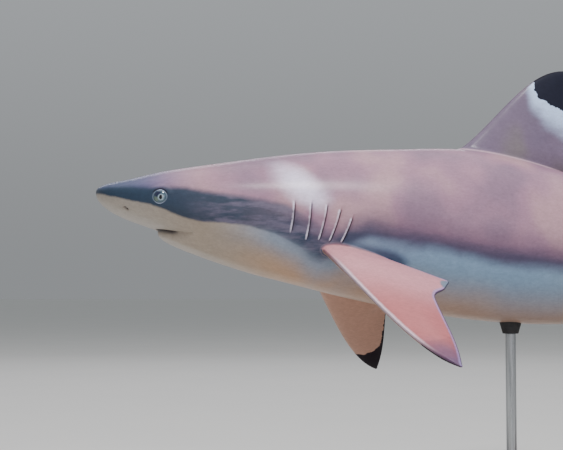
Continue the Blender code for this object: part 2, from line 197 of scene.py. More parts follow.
def gauss(x, width):
    return np.exp(-((x / width) ** 2))


# ---- mouth, gills, nostrils and eye folds: where they run, and how they lift the skin

mouthForm = {
    "front": 5.2,
    "archPower": 1.83,
    "archBend": 0.28,
    "cornerTurn": 140.0,
    "fadeTurn": 102.0,
    "cornerFade": (2.0, 9.0),  # degrees past the corner where the slit ends, and its fading span
    "furrow": (7.2, 0.8),  # the station by which the slit has become a furrow, and its fading span
    "leanSpan": (1.2, 14.0),  # the stations between which the skin's rings follow the arch
    # how far the lower jaw hangs: station: hundredths of the length
    "jawDrop": {
        4.6: 0.42, 5.2: 0.52, 5.9: 0.64, 6.7: 0.70, 7.5: 0.70, 8.4: 0.60, 9.5: 0.42, 10.6: 0.22,
        11.7: 0.07, 12.8: 0.0, 14.0: 0.0,
    },
    "chinStart": 0.75,  # millimetres behind the lip's edge
    "chinLength": 8.0,  # millimetres over which the chin rounds up to the lip
    "chinRoundness": 2.6,
    "jawHalfWidth": 4.4,
    "jawEasing": 2.4,
    # millimetres behind the lip's edge: millimetres outwards
    "lip": {-6: 0.0, -3: 0.25, -1.2: 0.45, -0.4: 0.30, 0.0: -0.6, 0.4: -2.6, 0.9: -3.0, 1.3: -1.6, 2.2: 0.0},
}
gillForm = {
    # station and height of each slit's top, then of its foot
    "slits": [
        (15.9, 0.10, 15.8, -2.5),
        (17.25, 0.20, 17.1, -3.0),
        (18.55, 0.10, 18.1, -2.9),
        (19.65, -0.20, 18.95, -2.95),
        (20.65, -0.70, 19.9, -2.95),
    ],
    "bow": 0.06,
    "leanSpan": (14.2, 23.8),  # the stations between which the skin's rings follow the slits
    # millimetres behind the slit: millimetres outwards
    "profile": {
        -10: 0.0, -7: 0.20, -4: 0.65, -1.8: 1.10, -0.6: 1.25, -0.1: 1.05, 0.3: -0.9, 0.7: -2.1,
        1.2: -1.9, 2.2: -1.1, 4.0: -0.35, 7.0: 0.0,
    },
    "ends": (0.02, 0.10),  # shares of its height that a slit runs on past its ends, and fades over
    "creaseShade": (0.75, 0.75),  # painted shade in the slit: millimetres behind the slit's edge, and width
    "flapHighlight": (-1.0, 1.3),  # the painted highlight along the flap's edge, likewise
    "flapHighlightPlain": (0.55, 0.45),  # how plain the painted highlight is half way down, and what its ends add
}
nostrilForm = {
    "station": 2.60,
    "turn": 129.0,
    "skinRadius": 2.9,
    "slant": 1.10,
    "halfLength": 3.8,
    "halfWidth": 2.3,
    "depth": 3.4,
    # the flap's middle and half widths, in millimetres along and across the slit
    "flapMiddle": (-0.3, -0.9),
    "flapWidths": (1.5, 1.6),
    "flapOver": 0.8,  # share of the pit that its flap closes
    "flapLift": 0.55,
    # in the pit's half widths: where its wall begins and how wide it is, and the rim's place and width
    "wall": (1.35, 0.7),
    "rim": (1.9, 0.5),
    "rimLift": 0.35,
}
eyeForm = {
    "station": 5.19,
    "height": -0.45,
    # in metres: the ball's radius and flattened depth, how far it stands out, and the lids' opening
    "radius": 0.0088,
    "depth": 0.0056,
    "proud": 0.0022,
    "halfLength": 0.0080,
    "halfHeight": 0.0073,
    # skin folds round the lids: millimetres outwards, distance from the eye's middle, width
    "folds": {"brow": (0.75, 11.5, 2.4), "trough": (-0.35, 15.5, 2.6), "pouch": (0.35, 10.8, 1.6)},
    "creaseShade": (9.0, 0.85),  # distance and width of the painted shadow line over the upper lid
    "foldReach": 30.0,
    # the lids' roll: millimetres inwards from the rim, and outwards in the upper and lower lid
    "lidRoll": [
        (0.15, 0.30, 0.18),
        (0.55, 0.42, 0.20),
        (0.95, 0.10, -0.10),
        (1.15, -0.60, -0.60),
        (1.0, -1.8, -1.8),
        (0.4, -3.0, -3.0),
    ],
}
# the notches over and under the tail's root, in millimetres
notchForm = {
    "station": 74.6,
    "halfWidth": 3.2,
    # depth, and how far round it reaches: the turn's cosine where it ends, and the span to full depth
    "upper": (1.7, 0.80, 0.15),
    "lower": (0.9, 0.85, 0.12),
}
slitRings = [(top + foot) / 2 for top, _, foot, _ in gillForm["slits"]]


def foldedTurn(turn):
    turn = turn % (2 * pi)
    return np.minimum(turn, 2 * pi - turn)


def mouthShift():
    # how far each turn's lip edge lies behind the front of the mouth
    turns = np.radians(np.arange(0, 181.0))
    station = np.full(turns.shape, mouthForm["front"])
    for _ in range(40):
        across = np.abs(onSection(station, turns)[0])
        arch = mouthForm["front"] + mouthForm["archBend"] * across ** mouthForm["archPower"]
        station = 0.5 * station + 0.5 * arch
    shift = station - mouthForm["front"]
    corner, fade = int(mouthForm["cornerTurn"]), mouthForm["fadeTurn"]
    easing = smoothStep((np.degrees(turns) - fade) / (corner - fade))
    shift = np.where(np.degrees(turns) < corner, shift[corner] * easing, shift)
    spread = 8
    kernel = gauss(np.arange(-spread, spread + 1), spread / 2)
    padded = np.concatenate([np.zeros(spread), shift, shift[-2 : -spread - 2 : -1]])
    return turns, np.convolve(padded, kernel / kernel.sum(), "valid")


mouthTurns, mouthOffsets = mouthShift()


def slitShare(slit, folded):
    top, foot = gillForm["slits"][slit][1], gillForm["slits"][slit][3]
    height = onSection(slitRings[slit], folded)[1]
    return (top - height) / (top - foot)


def slitOffset(slit, folded):
    topAt, _, footAt, _ = gillForm["slits"][slit]
    share = slitShare(slit, folded)
    line = topAt + (footAt - topAt) * np.clip(share, -0.15, 1.15)
    line = line + gillForm["bow"] * np.sin(pi * np.clip(share, 0, 1))
    # the lean dies away over and under the slit
    fade = smoothStep(1 - (-0.1 - share) / 1.1) * smoothStep(1 - (share - 1.1) / 1.1)
    return (line - slitRings[slit]) * fade


def ringStation(ring, folded):
    # rings lean with the mouth's arch and with the gill slits, so their edges are clean
    front, (first, last) = mouthForm["front"], mouthForm["leanSpan"]
    rising, falling = (ring - first) / (front - first), (last - ring) / (last - front)
    hold = smoothStep(np.minimum(rising, falling))
    station = ring + np.interp(folded, mouthTurns, mouthOffsets) * hold
    first, last = gillForm["leanSpan"]
    knots = [first, *slitRings, last]
    offsets = [0 * folded, *(slitOffset(i, folded) for i in range(len(slitRings))), 0 * folded]
    for i in range(len(knots) - 1):
        share = (ring - knots[i]) / (knots[i + 1] - knots[i])
        lean = offsets[i] * (1 - share) + offsets[i + 1] * share
        station = station + np.where((share >= 0) & (share < 1), lean, 0)
    return station


def ringAt(station, folded):
    # the ring that passes through a station: ringStation the other way round
    low, high = np.zeros(np.shape(station)), np.full(np.shape(station), max(bodyForm["sections"]))
    for _ in range(34):
        middle = (low + high) / 2
        short = ringStation(middle, folded) < station
        low, high = np.where(short, middle, low), np.where(short, high, middle)
    return (low + high) / 2


def sideTurn(station, height):
    turns = np.radians(np.linspace(1, 179, 357))
    heights = onSection(np.full(turns.shape, station), turns)[1]
    return float(np.interp(-height, -heights, turns))


def flankPoint(station, height, side):
    across, up = onSection(station, sideTurn(station, height))
    return Vector(toWorld(station, -across * side, up))


def eyeFrame(side):
    # the eye's middle on the skin, and its own axes: towards the tail, up, and outwards
    at, height = eyeForm["station"], eyeForm["height"]
    middle = flankPoint(at, height, side)
    rearward = (flankPoint(at + 0.6, height, side) - flankPoint(at - 0.6, height, side)).normalized()
    upward = flankPoint(at, height + 0.4, side) - flankPoint(at, height - 0.4, side)
    outward = rearward.cross(upward).normalized()
    if outward.y * side < 0:
        outward = -outward
    upward = (upward - upward.dot(rearward) * rearward).normalized()
    return middle, rearward, upward, outward


def inEyeFrame(points, side):
    middle, rearward, upward, outward = (np.array(v) for v in eyeFrame(side))
    away = points - middle
    return away @ rearward, away @ upward, away @ outward


jawCurve = splineThrough(list(mouthForm["jawDrop"]), list(mouthForm["jawDrop"].values()))


def jawDrop(station):
    stations = list(mouthForm["jawDrop"])
    return np.where(station < stations[-1], jawCurve(np.clip(station, stations[0], stations[-1])), 0.0)


def jawAmount(station, across, ring, folded):
    # how far the lower jaw hangs below the snout's surface, in millimetres
    behind = (ring - mouthForm["front"]) / oneMm
    ahead = 1 - np.clip((behind - mouthForm["chinStart"]) / mouthForm["chinLength"], 0, 1)
    power = mouthForm["chinRoundness"]
    rise = (1 - ahead**power) ** (1 / power)
    narrow = smoothStep((mouthForm["jawHalfWidth"] - np.abs(across)) / mouthForm["jawEasing"])
    return jawDrop(station) / oneMm * rise * narrow * (folded > pi / 2)


def mouthShare(folded):
    # 1 along the open mouth, falling to 0 just past its corner
    past, span = mouthForm["cornerFade"]
    return smoothStep((np.degrees(folded) - mouthForm["cornerTurn"] + past) / span)


def nostrilPlace(station, folded):
    # millimetres from the nostril's middle, along its slanting slit and across it
    radius = nostrilForm["skinRadius"] / oneMm
    along = (station - nostrilForm["station"]) / oneMm
    around = (folded - radians(nostrilForm["turn"])) * radius
    slant = nostrilForm["slant"]
    return along * cos(slant) + around * sin(slant), around * cos(slant) - along * sin(slant)


def mouthMarks(ring, station, folded):
    # the lips' lift and the slit between them; the corner runs out into a shallow furrow
    behind = (ring - mouthForm["front"]) / oneMm
    end, span = mouthForm["furrow"]
    amount = mouthShare(folded) * (0.25 + 0.75 * smoothStep((end - station) / span))
    # the second value is painted shade in the slit between the lips
    return straightTable(mouthForm["lip"])(behind) * amount, gauss(behind - 0.6, 1.0) * amount


def gillMarks(ring, folded):
    lift, creaseShade, flap = np.zeros(ring.shape), np.zeros(ring.shape), np.zeros(ring.shape)
    past, fade = gillForm["ends"]
    creaseAt, creaseWidth = gillForm["creaseShade"]
    flapAt, flapWidth = gillForm["flapHighlight"]
    middle, more = gillForm["flapHighlightPlain"]
    for i, slitRing in enumerate(slitRings):
        share = slitShare(i, folded)
        window = smoothStep((share + past) / fade) * smoothStep((1 + past - share) / fade)
        behindSlit = (ring - slitRing) / oneMm
        lift += straightTable(gillForm["profile"])(behindSlit) * window
        # painted shade in the slit behind each flap
        creaseShade = np.maximum(creaseShade, gauss(behindSlit - creaseAt, creaseWidth) * window)
        ends = middle + more * (2 * np.clip(share, 0, 1) - 1) ** 2
        # a painted highlight along each flap's edge, brighter at its ends
        flap = np.maximum(flap, gauss(behindSlit - flapAt, flapWidth) * window * ends)
    return lift, creaseShade, flap


def nostrilMarks(station, folded):
    # a slanting pit with a low rim, half closed by its flap
    lengthwise, wide = nostrilPlace(station, folded)
    edge = np.sqrt((lengthwise / nostrilForm["halfLength"]) ** 2 + (wide / nostrilForm["halfWidth"]) ** 2)
    (along, across), (length, width) = nostrilForm["flapMiddle"], nostrilForm["flapWidths"]
    flap = gauss(lengthwise - along, length) * gauss(wide - across, width)
    (outer, wall), (rimAt, rimWidth) = nostrilForm["wall"], nostrilForm["rim"]
    pit = smoothStep((outer - edge) / wall) * (1 - nostrilForm["flapOver"] * flap)
    rim = nostrilForm["rimLift"] * gauss(edge - rimAt, rimWidth) * (edge > 0.9)
    # the pit also gives the painted shade inside it
    return nostrilForm["flapLift"] * flap + rim - nostrilForm["depth"] * pit, pit


def eyeMarks(flat, side, here):
    # a low brow over the eye, a shallow trough around the lids and a pouch under them
    x, y, _ = inEyeFrame(flat, side)
    x, y = x * 1000, y * 1000
    away = np.hypot(x, y * 1.06) + 1e-6
    up = y / away
    near = here & (away < eyeForm["foldReach"])
    brow, trough, pouch = (
        lift * gauss(away - middle, width) for lift, middle, width in eyeForm["folds"].values()
    )
    lift = brow * np.clip(up, 0, 1) ** 0.7 + trough * np.clip(up + 0.1, 0, 1) + pouch * np.clip(-up, 0, 1)
    middle, width = eyeForm["creaseShade"]
    # a painted shadow line over the upper lid
    creaseShade = gauss(away - middle, width) * smoothStep((up - 0.15) / 0.5)
    return np.where(near, lift, 0), np.where(near, creaseShade, 0)


def notchLift(station, turn):
    notch = gauss((station - notchForm["station"]) / oneMm, notchForm["halfWidth"])
    upper, lower = (
        depth * smoothStep((towards * np.cos(turn) - end) / span)
        for towards, (depth, end, span) in ((1, notchForm["upper"]), (-1, notchForm["lower"]))
    )
    return -notch * (upper + lower)


def skinMarks(ring, turn):
    # everything that the body's skin does at a place, in millimetres
    folded = foldedTurn(turn)
    station = ringStation(ring, folded)
    across, height = onSection(station, turn)
    left = np.sign(across) < 0
    flat = toWorld(station, across, height)
    gillLift, gillCreaseShade, flap = gillMarks(ring, folded)
    marks = [mouthMarks(ring, station, folded), (gillLift, gillCreaseShade), nostrilMarks(station, folded)]
    marks += [eyeMarks(flat, side, here) for side, here in ((-1, left), (1, ~left))]
    return {
        "station": station,
        "across": across,
        "height": height,
        "lift": sum(lift for lift, _ in marks) + notchLift(station, turn),
        "jaw": jawAmount(station, across, ring, folded),
        "creaseShade": np.max([creaseShade for _, creaseShade in marks], axis=0),
        # the painted highlight along the gill flaps' edges
        "flap": flap,
    }


def bodyPoints(ring, turn):
    marks = skinMarks(ring, turn)
    station = marks["station"]
    flat = toWorld(station, marks["across"], marks["height"])
    # the skin's own direction, from places a little further back, forwards, and to either side
    back, forwards, aside = station + 0.05, np.maximum(station - 0.05, 0.001), 0.012
    lengthwise = toWorld(back, *onSection(back, turn)) - toWorld(forwards, *onSection(forwards, turn))
    crosswise = toWorld(station, *onSection(station, turn + aside))
    crosswise = crosswise - toWorld(station, *onSection(station, turn - aside))
    normal = np.cross(lengthwise, crosswise)
    normal /= np.linalg.norm(normal, axis=-1, keepdims=True) + 1e-12
    heart = toWorld(station, 0 * station, widestLine(np.sqrt(station)))
    normal *= np.sign(np.sum(normal * (flat - heart), -1, keepdims=True))
    downward = toWorld(station, marks["across"], marks["height"] - marks["jaw"] * oneMm) - flat
    return flat + normal * marks["lift"][..., None] / 1000 + downward


# ---- the fins' outlines, in their own planes

finForm = {
    "rim": 0.045,  # half the thickness of a trailing edge
    "slimness": 0.2,  # a chord's thickness is never more than this share of its length
    "thinning": 0.75,  # share of the root's thickness that is gone at the tip
    "innerShare": 0.22,  # share of the levels that run along the free rear tip's inner edge
    "tipShare": 0.985,  # where the drawn edges end and the rounded tip begins
    "tipBows": (25, 48, 68, 82),  # the rounded tip's rows, in degrees
    "tipReach": 0.9,
    "rootDepth": 1.6,
    "footShares": (0.25, 0.5, 0.75, 1.0),  # the rows of the fillet at the root
    "cornerSpread": 24,
    "lobe": (0.17, 0.15),  # where along the trailing edge a free lobe stands out, and its half length
}
# lead, inner and trail draw the front edge, the free rear tip's inner edge and the trailing edge.
# turn is where round the body the fin stands; levels are its rows beside the inner edge and above.
# A paired fin has a root, and on each side its sweep, droop and twist in degrees.
fins = {
    "firstDorsal": {
        "lead": [(30.4, 6.60), (33.9, 9.40), (36.6, 15.75), (40.9, 14.50)],
        "inner": [(38.9, 5.40), (40.3, 5.62), (41.9, 5.78), (43.3, 5.95)],
        "trail": [(43.3, 5.95), (38.4, 8.20), (42.0, 13.30), (40.9, 14.50)],
        "thickness": 1.35,
        "fillet": 0.45,
        "turn": 0.0,
        "levels": (10, 23),
        # the dark tip's lower edge, and how much white lies below it
        "inkLine": [
            (35.9, 13.9), (36.75, 13.45), (36.8, 12.64), (37.2, 11.85), (37.9, 11.7), (38.3, 11.35),
            (39.05, 11.2), (40.2, 10.9), (42.5, 10.6),
        ],
        "pale": 1.0,
    },
    "secondDorsal": {
        "lead": [(62.4, 2.50), (64.2, 4.00), (65.6, 6.80), (68.0, 6.30)],
        "inner": [(67.0, 1.95), (68.2, 2.15), (69.4, 2.35), (70.6, 2.50)],
        "trail": [(70.6, 2.50), (67.2, 3.10), (68.6, 5.50), (68.0, 6.30)],
        "thickness": 0.70,
        "fillet": 0.28,
        "turn": 0.0,
        "levels": (8, 11),
        "inkLine": [(63.0, 6.3), (65.3, 5.35), (66.6, 4.75), (67.6, 4.35), (69.0, 4.1), (70.8, 4.0)],
        "pale": 0.35,
    },
    "anal": {
        "lead": [(62.0, -3.10), (64.0, -5.20), (65.4, -7.60), (67.6, -7.35)],
        "inner": [(66.6, -2.35), (67.8, -2.65), (68.8, -2.90), (69.9, -3.10)],
        "trail": [(69.9, -3.10), (65.6, -4.10), (68.3, -6.60), (67.6, -7.35)],
        "thickness": 0.70,
        "fillet": 0.28,
        "turn": pi,
        "growth": -1,  # its root lies above the blade, not below
        "levels": (8, 11),
        "inkLine": [(63.0, -7.0), (65.2, -6.25), (66.4, -5.85), (67.4, -5.65), (69.2, -5.3)],
        "pale": 0.25,
    },
    "pectoral": {
        "lead": [(0.0, 0.0), (3.3, 5.7), (6.2, 13.5), (9.6, 14.8)],
        "inner": [(4.6, -0.60), (6.4, 0.30), (8.3, 1.15), (9.7, 1.85)],
        "trail": [(9.7, 1.85), (7.1, 2.9), (9.9, 9.0), (9.6, 14.8)],
        "thickness": 1.45,
        "fillet": 0.35,
        "freeLobe": 1.0,  # how far the free rear tip swells backwards
        "freeMiddle": (9.9, 2.8),
        "darkEdge": 5.0,  # millimetres of dark along the trailing edge, at the tip
        "ownColour": 1.0,  # share of the pectoral fins' own colours
        "root": (18.5, 5.45, -3.64),
        "turn": radians(118),
        "left": (-5.4, 32.0, 4.7),
        "right": (0.4, 37.0, 0.0),
        "levels": (10, 25),
        "inkLine": [
            (3.5, 12.2), (5.6, 12.05), (6.8, 12.5), (7.8, 12.3), (8.6, 11.7), (9.2, 10.9), (11.0, 10.2),
        ],
        "pale": 0.0,
    },
    "pelvic": {
        "lead": [(0.0, 0.0), (1.6, 2.3), (3.4, 4.9), (5.6, 5.0)],
        "inner": [(3.6, -0.35), (5.2, 0.12), (7.0, 0.58), (8.6, 0.9)],
        "trail": [(8.6, 0.9), (6.2, 1.6), (6.9, 4.6), (5.6, 5.0)],
        "thickness": 0.75,
        "fillet": 0.28,
        "ownColour": 0.22,
        "root": (47.0, 2.95, -4.75),
        "turn": radians(140),
        "left": (-3.0, 38.0, 0.0),
        "right": (-3.0, 38.0, 0.0),
        "levels": (8, 12),
        "inkLine": [(2.0, 4.4), (3.9, 3.95), (5.2, 3.7), (6.4, 3.6), (8.5, 3.2)],
        "pale": 0.2,
    },
}
tailForm = {
    "upperLead": [(75.7, 1.85), (82.0, 4.90), (91.5, 11.4), (98.7, 13.6)],
    "upperTrail": [(82.3, -0.55), (85.4, 0.90), (89.4, 4.70), (93.8, 7.60)],
    "endLobe": [(93.8, 7.60), (95.6, 6.30), (97.6, 9.20), (98.7, 13.6)],
    "lowerLead": [(75.7, -1.62), (76.8, -4.60), (78.6, -9.60), (81.9, -11.2)],
    "lowerTrail": [(82.3, -0.55), (80.6, -3.20), (82.3, -8.20), (81.9, -11.2)],
    # share of the upper lobe's length reached opposite the lower tip, the fork and the notch
    "lowerTip": 0.115,
    "fork": 0.25,
    "notch": 0.77,
    "levels": (24, 20, 26, 16),
    "cornerSpread": 6,
    "easeEnd": 0.10,  # the share by which the stalk's round section has become a blade
    # the upper lobe's thick core: its half thickness, and its width at shares of the length
    "core": 1.12,
    "coreWidth": {0: 3.47, 0.1: 3.4, 0.25: 2.7, 0.5: 1.75, 0.77: 1.1, 1: 0.5},
    "lowerThickness": 1.0,
    "lowerSpan": (0.6, 11.2),  # the lower lobe's root and tip, below the spine
    "web": 0.16,
}


def bezierPoints(points, t):
    a, b, c, d = (np.array(p, float) for p in points)
    t = np.asarray(t, float)[..., None]
    u = 1 - t
    return a * u**3 + b * (3 * u * u * t) + c * (3 * u * t * t) + d * t**3


def easedCorners(points, spread):
    # rounds the sharp corners of a dense outline, keeping its ends
    kernel = gauss(np.arange(-spread, spread + 1), spread / 2)
    kernel /= kernel.sum()
    before = 2 * points[:1] - points[spread:0:-1]
    after = 2 * points[-1:] - points[-2 : -spread - 2 : -1]
    padded = np.concatenate([before, points, after])
    return np.stack([np.convolve(padded[:, i], kernel, "valid") for i in range(2)], -1)


outlineSteps = np.linspace(0, 1, 1001)


def trailOutline(fin):
    inner = finForm["innerShare"]
    early = bezierPoints(fin["inner"], np.clip(outlineSteps / inner, 0, 1))
    beyond = np.clip((outlineSteps - inner) / (1 - inner), 0, 1)
    late = bezierPoints(fin["trail"], finForm["tipShare"] * beyond)
    middle, half = finForm["lobe"]
    late[:, 0] += fin.get("freeLobe", 0.0) * np.exp(-(((beyond - middle) / half) ** 4))
    edge = np.where((outlineSteps < inner)[:, None], early, late)
    return easedCorners(edge, finForm["cornerSpread"])


for fin in fins.values():
    fin["leadTable"] = bezierPoints(fin["lead"], finForm["tipShare"] * outlineSteps)
    fin["trailTable"] = trailOutline(fin)


def outlineAt(table, level):
    return np.stack([np.interp(level, outlineSteps, table[:, i]) for i in range(2)], -1)


def aerofoil(share):
    return 2.6 * np.sqrt(share) * (1 - share)


def bladePlane(fin, level, around, grow=0.0):
    # around runs from the leading edge (0) over the upper face to the trailing edge (pi) and
    # back under it; returns the place in the fin's plane and how far it stands off the plane
    share = (1 - np.cos(around)) / 2
    shift = np.minimum(level, 0)[..., None] * np.array((0, finForm["rootDepth"])) * fin.get("growth", 1)
    lead = outlineAt(fin["leadTable"], np.maximum(level, 0)) + shift
    trail = outlineAt(fin["trailTable"], np.maximum(level, 0)) + shift
    chord = trail - lead
    length = np.linalg.norm(chord, axis=-1)
    full = fin["thickness"] * (1 - finForm["thinning"] * np.maximum(level, 0))
    half = np.minimum(full, finForm["slimness"] * length) / 2
    swell = half * aerofoil(share) + finForm["rim"] * np.clip(share / 0.04, 0, 1)
    swell = swell * np.clip(np.abs(np.sin(around)) / 0.05, 0, 1)
    flat = 0.35 * np.cos(around)
    steep = np.sin(around)
    norm = np.hypot(flat, steep)
    grow = grow * (1 - 0.93 * share**3)  # hardly any fillet where the fin comes free behind
    place = lead + chord * share[..., None] - (chord / length[..., None]) * (grow * flat / norm)[..., None]
    return place, swell * np.sign(steep) + grow * steep / norm


def midlinePlace(plane, off):
    return plane[..., 0], off, plane[..., 1]


def finPlace(fin, side):
    # gives the function that takes a place in the fin's plane to the body
    if not side:
        return midlinePlace
    sweep, droop, twist = (radians(angle) for angle in fin["left" if side < 0 else "right"])
    held = Matrix.Rotation(sweep, 3, "Z") @ Matrix.Rotation(droop, 3, "X") @ Matrix.Rotation(twist, 3, "Y")
    held = np.array(held)
    station, out, height = fin["root"]

    def place(plane, off):
        local = np.stack([plane[..., 0], -plane[..., 1], off], -1) @ held.T
        return station + local[..., 0], side * (out - local[..., 1]), height + local[..., 2]

    return place


def finTurn(fin, side):
    return -fin["turn"] * side if side else fin["turn"]


def rootLevel(fin, place, around, grow):
    # the level at which each line of the blade comes out of the body
    low, high = np.full(around.shape, -1.0), np.full(around.shape, 0.6)
    for _ in range(30):
        middle = (low + high) / 2
        inside = turnTowards(*place(*bladePlane(fin, middle, around, grow)))[1] < 0
        low, high = np.where(inside, middle, low), np.where(inside, high, middle)
    return (low + high) / 2


# ---- the body's net of rings and columns

netForm = {
    "columns": 128,
    "columnsAt": 16.0,  # the station whose section they are spaced evenly on
    "tipRings": 14,
    "tipEnd": 1.5,
    # first and last station, and the stations from one ring to the next
    "head": (1.5, 14.6, 0.155),
    "gills": (14.7, 22.2, 0.28),
    "trunk": (22.4, 75.6, 0.38),
    # finer rings, in millimetres behind the mouth's front edge and behind each gill slit
    "mouthRows": [
        -6.0, -4.2, -2.8, -1.8, -1.1, -0.6, -0.2, 0.1, 0.4, 0.7, 0.95, 1.2, 1.5, 2.0, 2.8, 4.0, 5.6,
    ],
    "slitRows": [-8.0, -5.5, -3.4, -1.9, -0.9, -0.3, 0.05, 0.4, 0.8, 1.3, 2.1, 3.4, 5.4],
    "rowMargin": 0.08,
    "eyeReach": 0.0125,
    # how far the finest net runs along and across a nostril's slit, and between which stations
    "nostrilReach": (8.5, 4.6),
    "nostrilStations": (1.2, 4.5),
    # how often the net's points are evened out round the eyes and the fins' feet
    "eyeEasing": 14,
    "finEasing": 10,
}


def ringStops():
    rings = [netForm["tipEnd"] * (i / netForm["tipRings"]) ** 1.8 for i in range(netForm["tipRings"])]
    rings += [*np.arange(*netForm["head"]), *np.arange(*netForm["gills"])]
    first, last, step = netForm["trunk"]
    rings += list(np.linspace(first, last, int((last - first) / step)))
    fine = [(mouthForm["front"], netForm["mouthRows"])]
    fine += [(slitRing, netForm["slitRows"]) for slitRing in slitRings]
    for centre, rows in fine:
        ahead, behind = rows[0] * oneMm - netForm["rowMargin"], rows[-1] * oneMm + netForm["rowMargin"]
        rings = [ring for ring in rings if not ahead < ring - centre < behind]
    rings += [centre + row * oneMm for centre, rows in fine for row in rows]
    return sorted(rings)


def columnTurns():
    # columns an even distance apart around a typical section
    turns = np.linspace(0, 2 * pi, 4001)
    across, height = onSection(np.full(turns.shape, netForm["columnsAt"]), turns)
    length = np.concatenate([[0], np.cumsum(np.hypot(np.diff(across), np.diff(height)))])
    return np.interp(np.linspace(0, length[-1], netForm["columns"] + 1), length, turns)


netLayers = ("ring", "turnCos", "turnSin", "part", "planeU", "planeV", "offSide", "share")


def newNet():
    rings, turns = ringStops(), columnTurns()
    bm = bmesh.new()
    bmesh.ops.create_grid(bm, x_segments=len(turns) - 1, y_segments=len(rings) - 1, size=1)
    layers = {name: bm.verts.layers.float.new(name) for name in netLayers}
    ringGrid, turnGrid = np.meshgrid(rings, turns, indexing="ij")
    points = toWorld(ringGrid, *onSection(ringGrid, turnGrid)).reshape(-1, 3)
    bm.verts.ensure_lookup_table()
    for vert, point, ring, turn in zip(bm.verts, points, ringGrid.ravel(), turnGrid.ravel()):
        vert.co = point
        vert[layers["ring"]] = ring
        vert[layers["turnCos"]] = cos(turn)
        vert[layers["turnSin"]] = sin(turn)
    bmesh.ops.remove_doubles(bm, verts=bm.verts, dist=1e-7)
    print("net:", len(rings), "rings,", len(bm.verts), "points")
    return bm, layers


def netPlaces(verts, layers):
    ring = np.array([vert[layers["ring"]] for vert in verts])
    turn = np.array([np.arctan2(vert[layers["turnSin"]], vert[layers["turnCos"]]) for vert in verts])
    return ring, turn % (2 * pi)


def refine(bm, layers, test):
    # halves the net's spacing wherever the test of (station, turn) holds
    ring, turn = netPlaces(bm.verts, layers)
    wanted = test(ringStation(ring, foldedTurn(turn)), turn)
    chosen = {vert for vert, want in zip(bm.verts, wanted) if want}
    edges = [edge for edge in bm.edges if edge.verts[0] in chosen and edge.verts[1] in chosen]
    bmesh.ops.subdivide_edges(bm, edges=edges, cuts=1, use_grid_fill=True)


def wrapped(turn, centre):
    return (turn - centre + pi) % (2 * pi) - pi


def insidePolygon(x, y, polygonX, polygonY):
    inside = np.zeros(x.shape, bool)
    for x0, y0, x1, y1 in zip(polygonX, polygonY, np.roll(polygonX, -1), np.roll(polygonY, -1)):
        crosses = (y0 > y) != (y1 > y)
        with np.errstate(divide="ignore", invalid="ignore"):
            at = x0 + (y - y0) / (y1 - y0) * (x1 - x0)
        inside ^= crosses & (x < at)
    return inside


def openHole(bm, layers, test):
    # deletes the faces whose corners all pass the test; returns the rim's points in order
    def placeKey(vert):
        return [vert[layers[name]] for name in netLayers[:3]]

    ring, turn = netPlaces(bm.verts, layers)
    wanted = test(ringStation(ring, foldedTurn(turn)), turn)
    chosen = {vert for vert, want in zip(bm.verts, wanted) if want}
    faces = [face for face in bm.faces if all(vert in chosen for vert in face.verts)]
    touched = {vert for face in faces for vert in face.verts}
    bmesh.ops.delete(bm, geom=faces, context="FACES")
    rim = {vert for vert in touched if vert.is_valid and any(edge.is_boundary for edge in vert.link_edges)}
    # the foremost point comes first, so that every run lays the loop out alike
    start = min(rim, key=placeKey)
    loop, before = [start], None
    while True:
        ahead = [edge.other_vert(loop[-1]) for edge in loop[-1].link_edges if edge.is_boundary]
        ahead = sorted((vert for vert in ahead if vert in rim and vert is not before), key=placeKey)
        if not ahead or ahead[0] is start or (len(loop) > 2 and start in ahead):
            break
        before = loop[-1]
        loop.append(ahead[0])
    assert len(loop) == len(rim), ("a hole's rim isn't one loop", len(loop), len(rim))
    return loop


def setNet(vert, layers, ring, turn):
    vert[layers["ring"]] = ring
    vert[layers["turnCos"]] = cos(turn)
    vert[layers["turnSin"]] = sin(turn)


def evenOut(values, total, steps):
    # spreads a loop's running values evenly, keeping their order
    values = np.array(values, float)
    for _ in range(steps):
        before, after = np.roll(values, 1), np.roll(values, -1)
        before[0] -= total
        after[-1] += total
        values = 0.5 * values + 0.25 * (before + after)
    return values


def relaxAround(layers, loop, steps, reach=3):
    # lets the net's points next to a hole find an even spacing
    held = set(loop)
    shell, near = set(loop), []
    for _ in range(reach):
        shell = {edge.other_vert(vert) for vert in shell for edge in vert.link_edges} - held
        held |= shell
        near += shell
    near = [vert for vert in near if not vert.is_boundary]
    for _ in range(steps):
        moved = []
        for vert in near:
            others = [edge.other_vert(vert) for edge in vert.link_edges]
            moved.append(
                [sum(other[layers[name]] for other in others) / len(others) for name in netLayers[:3]]
            )
        for vert, (ring, turnCos, turnSin) in zip(near, moved):
            size = sqrt(turnCos**2 + turnSin**2)
            for name, value in zip(netLayers, (ring, turnCos / size, turnSin / size)):
                vert[layers[name]] = 0.5 * vert[layers[name]] + 0.5 * value


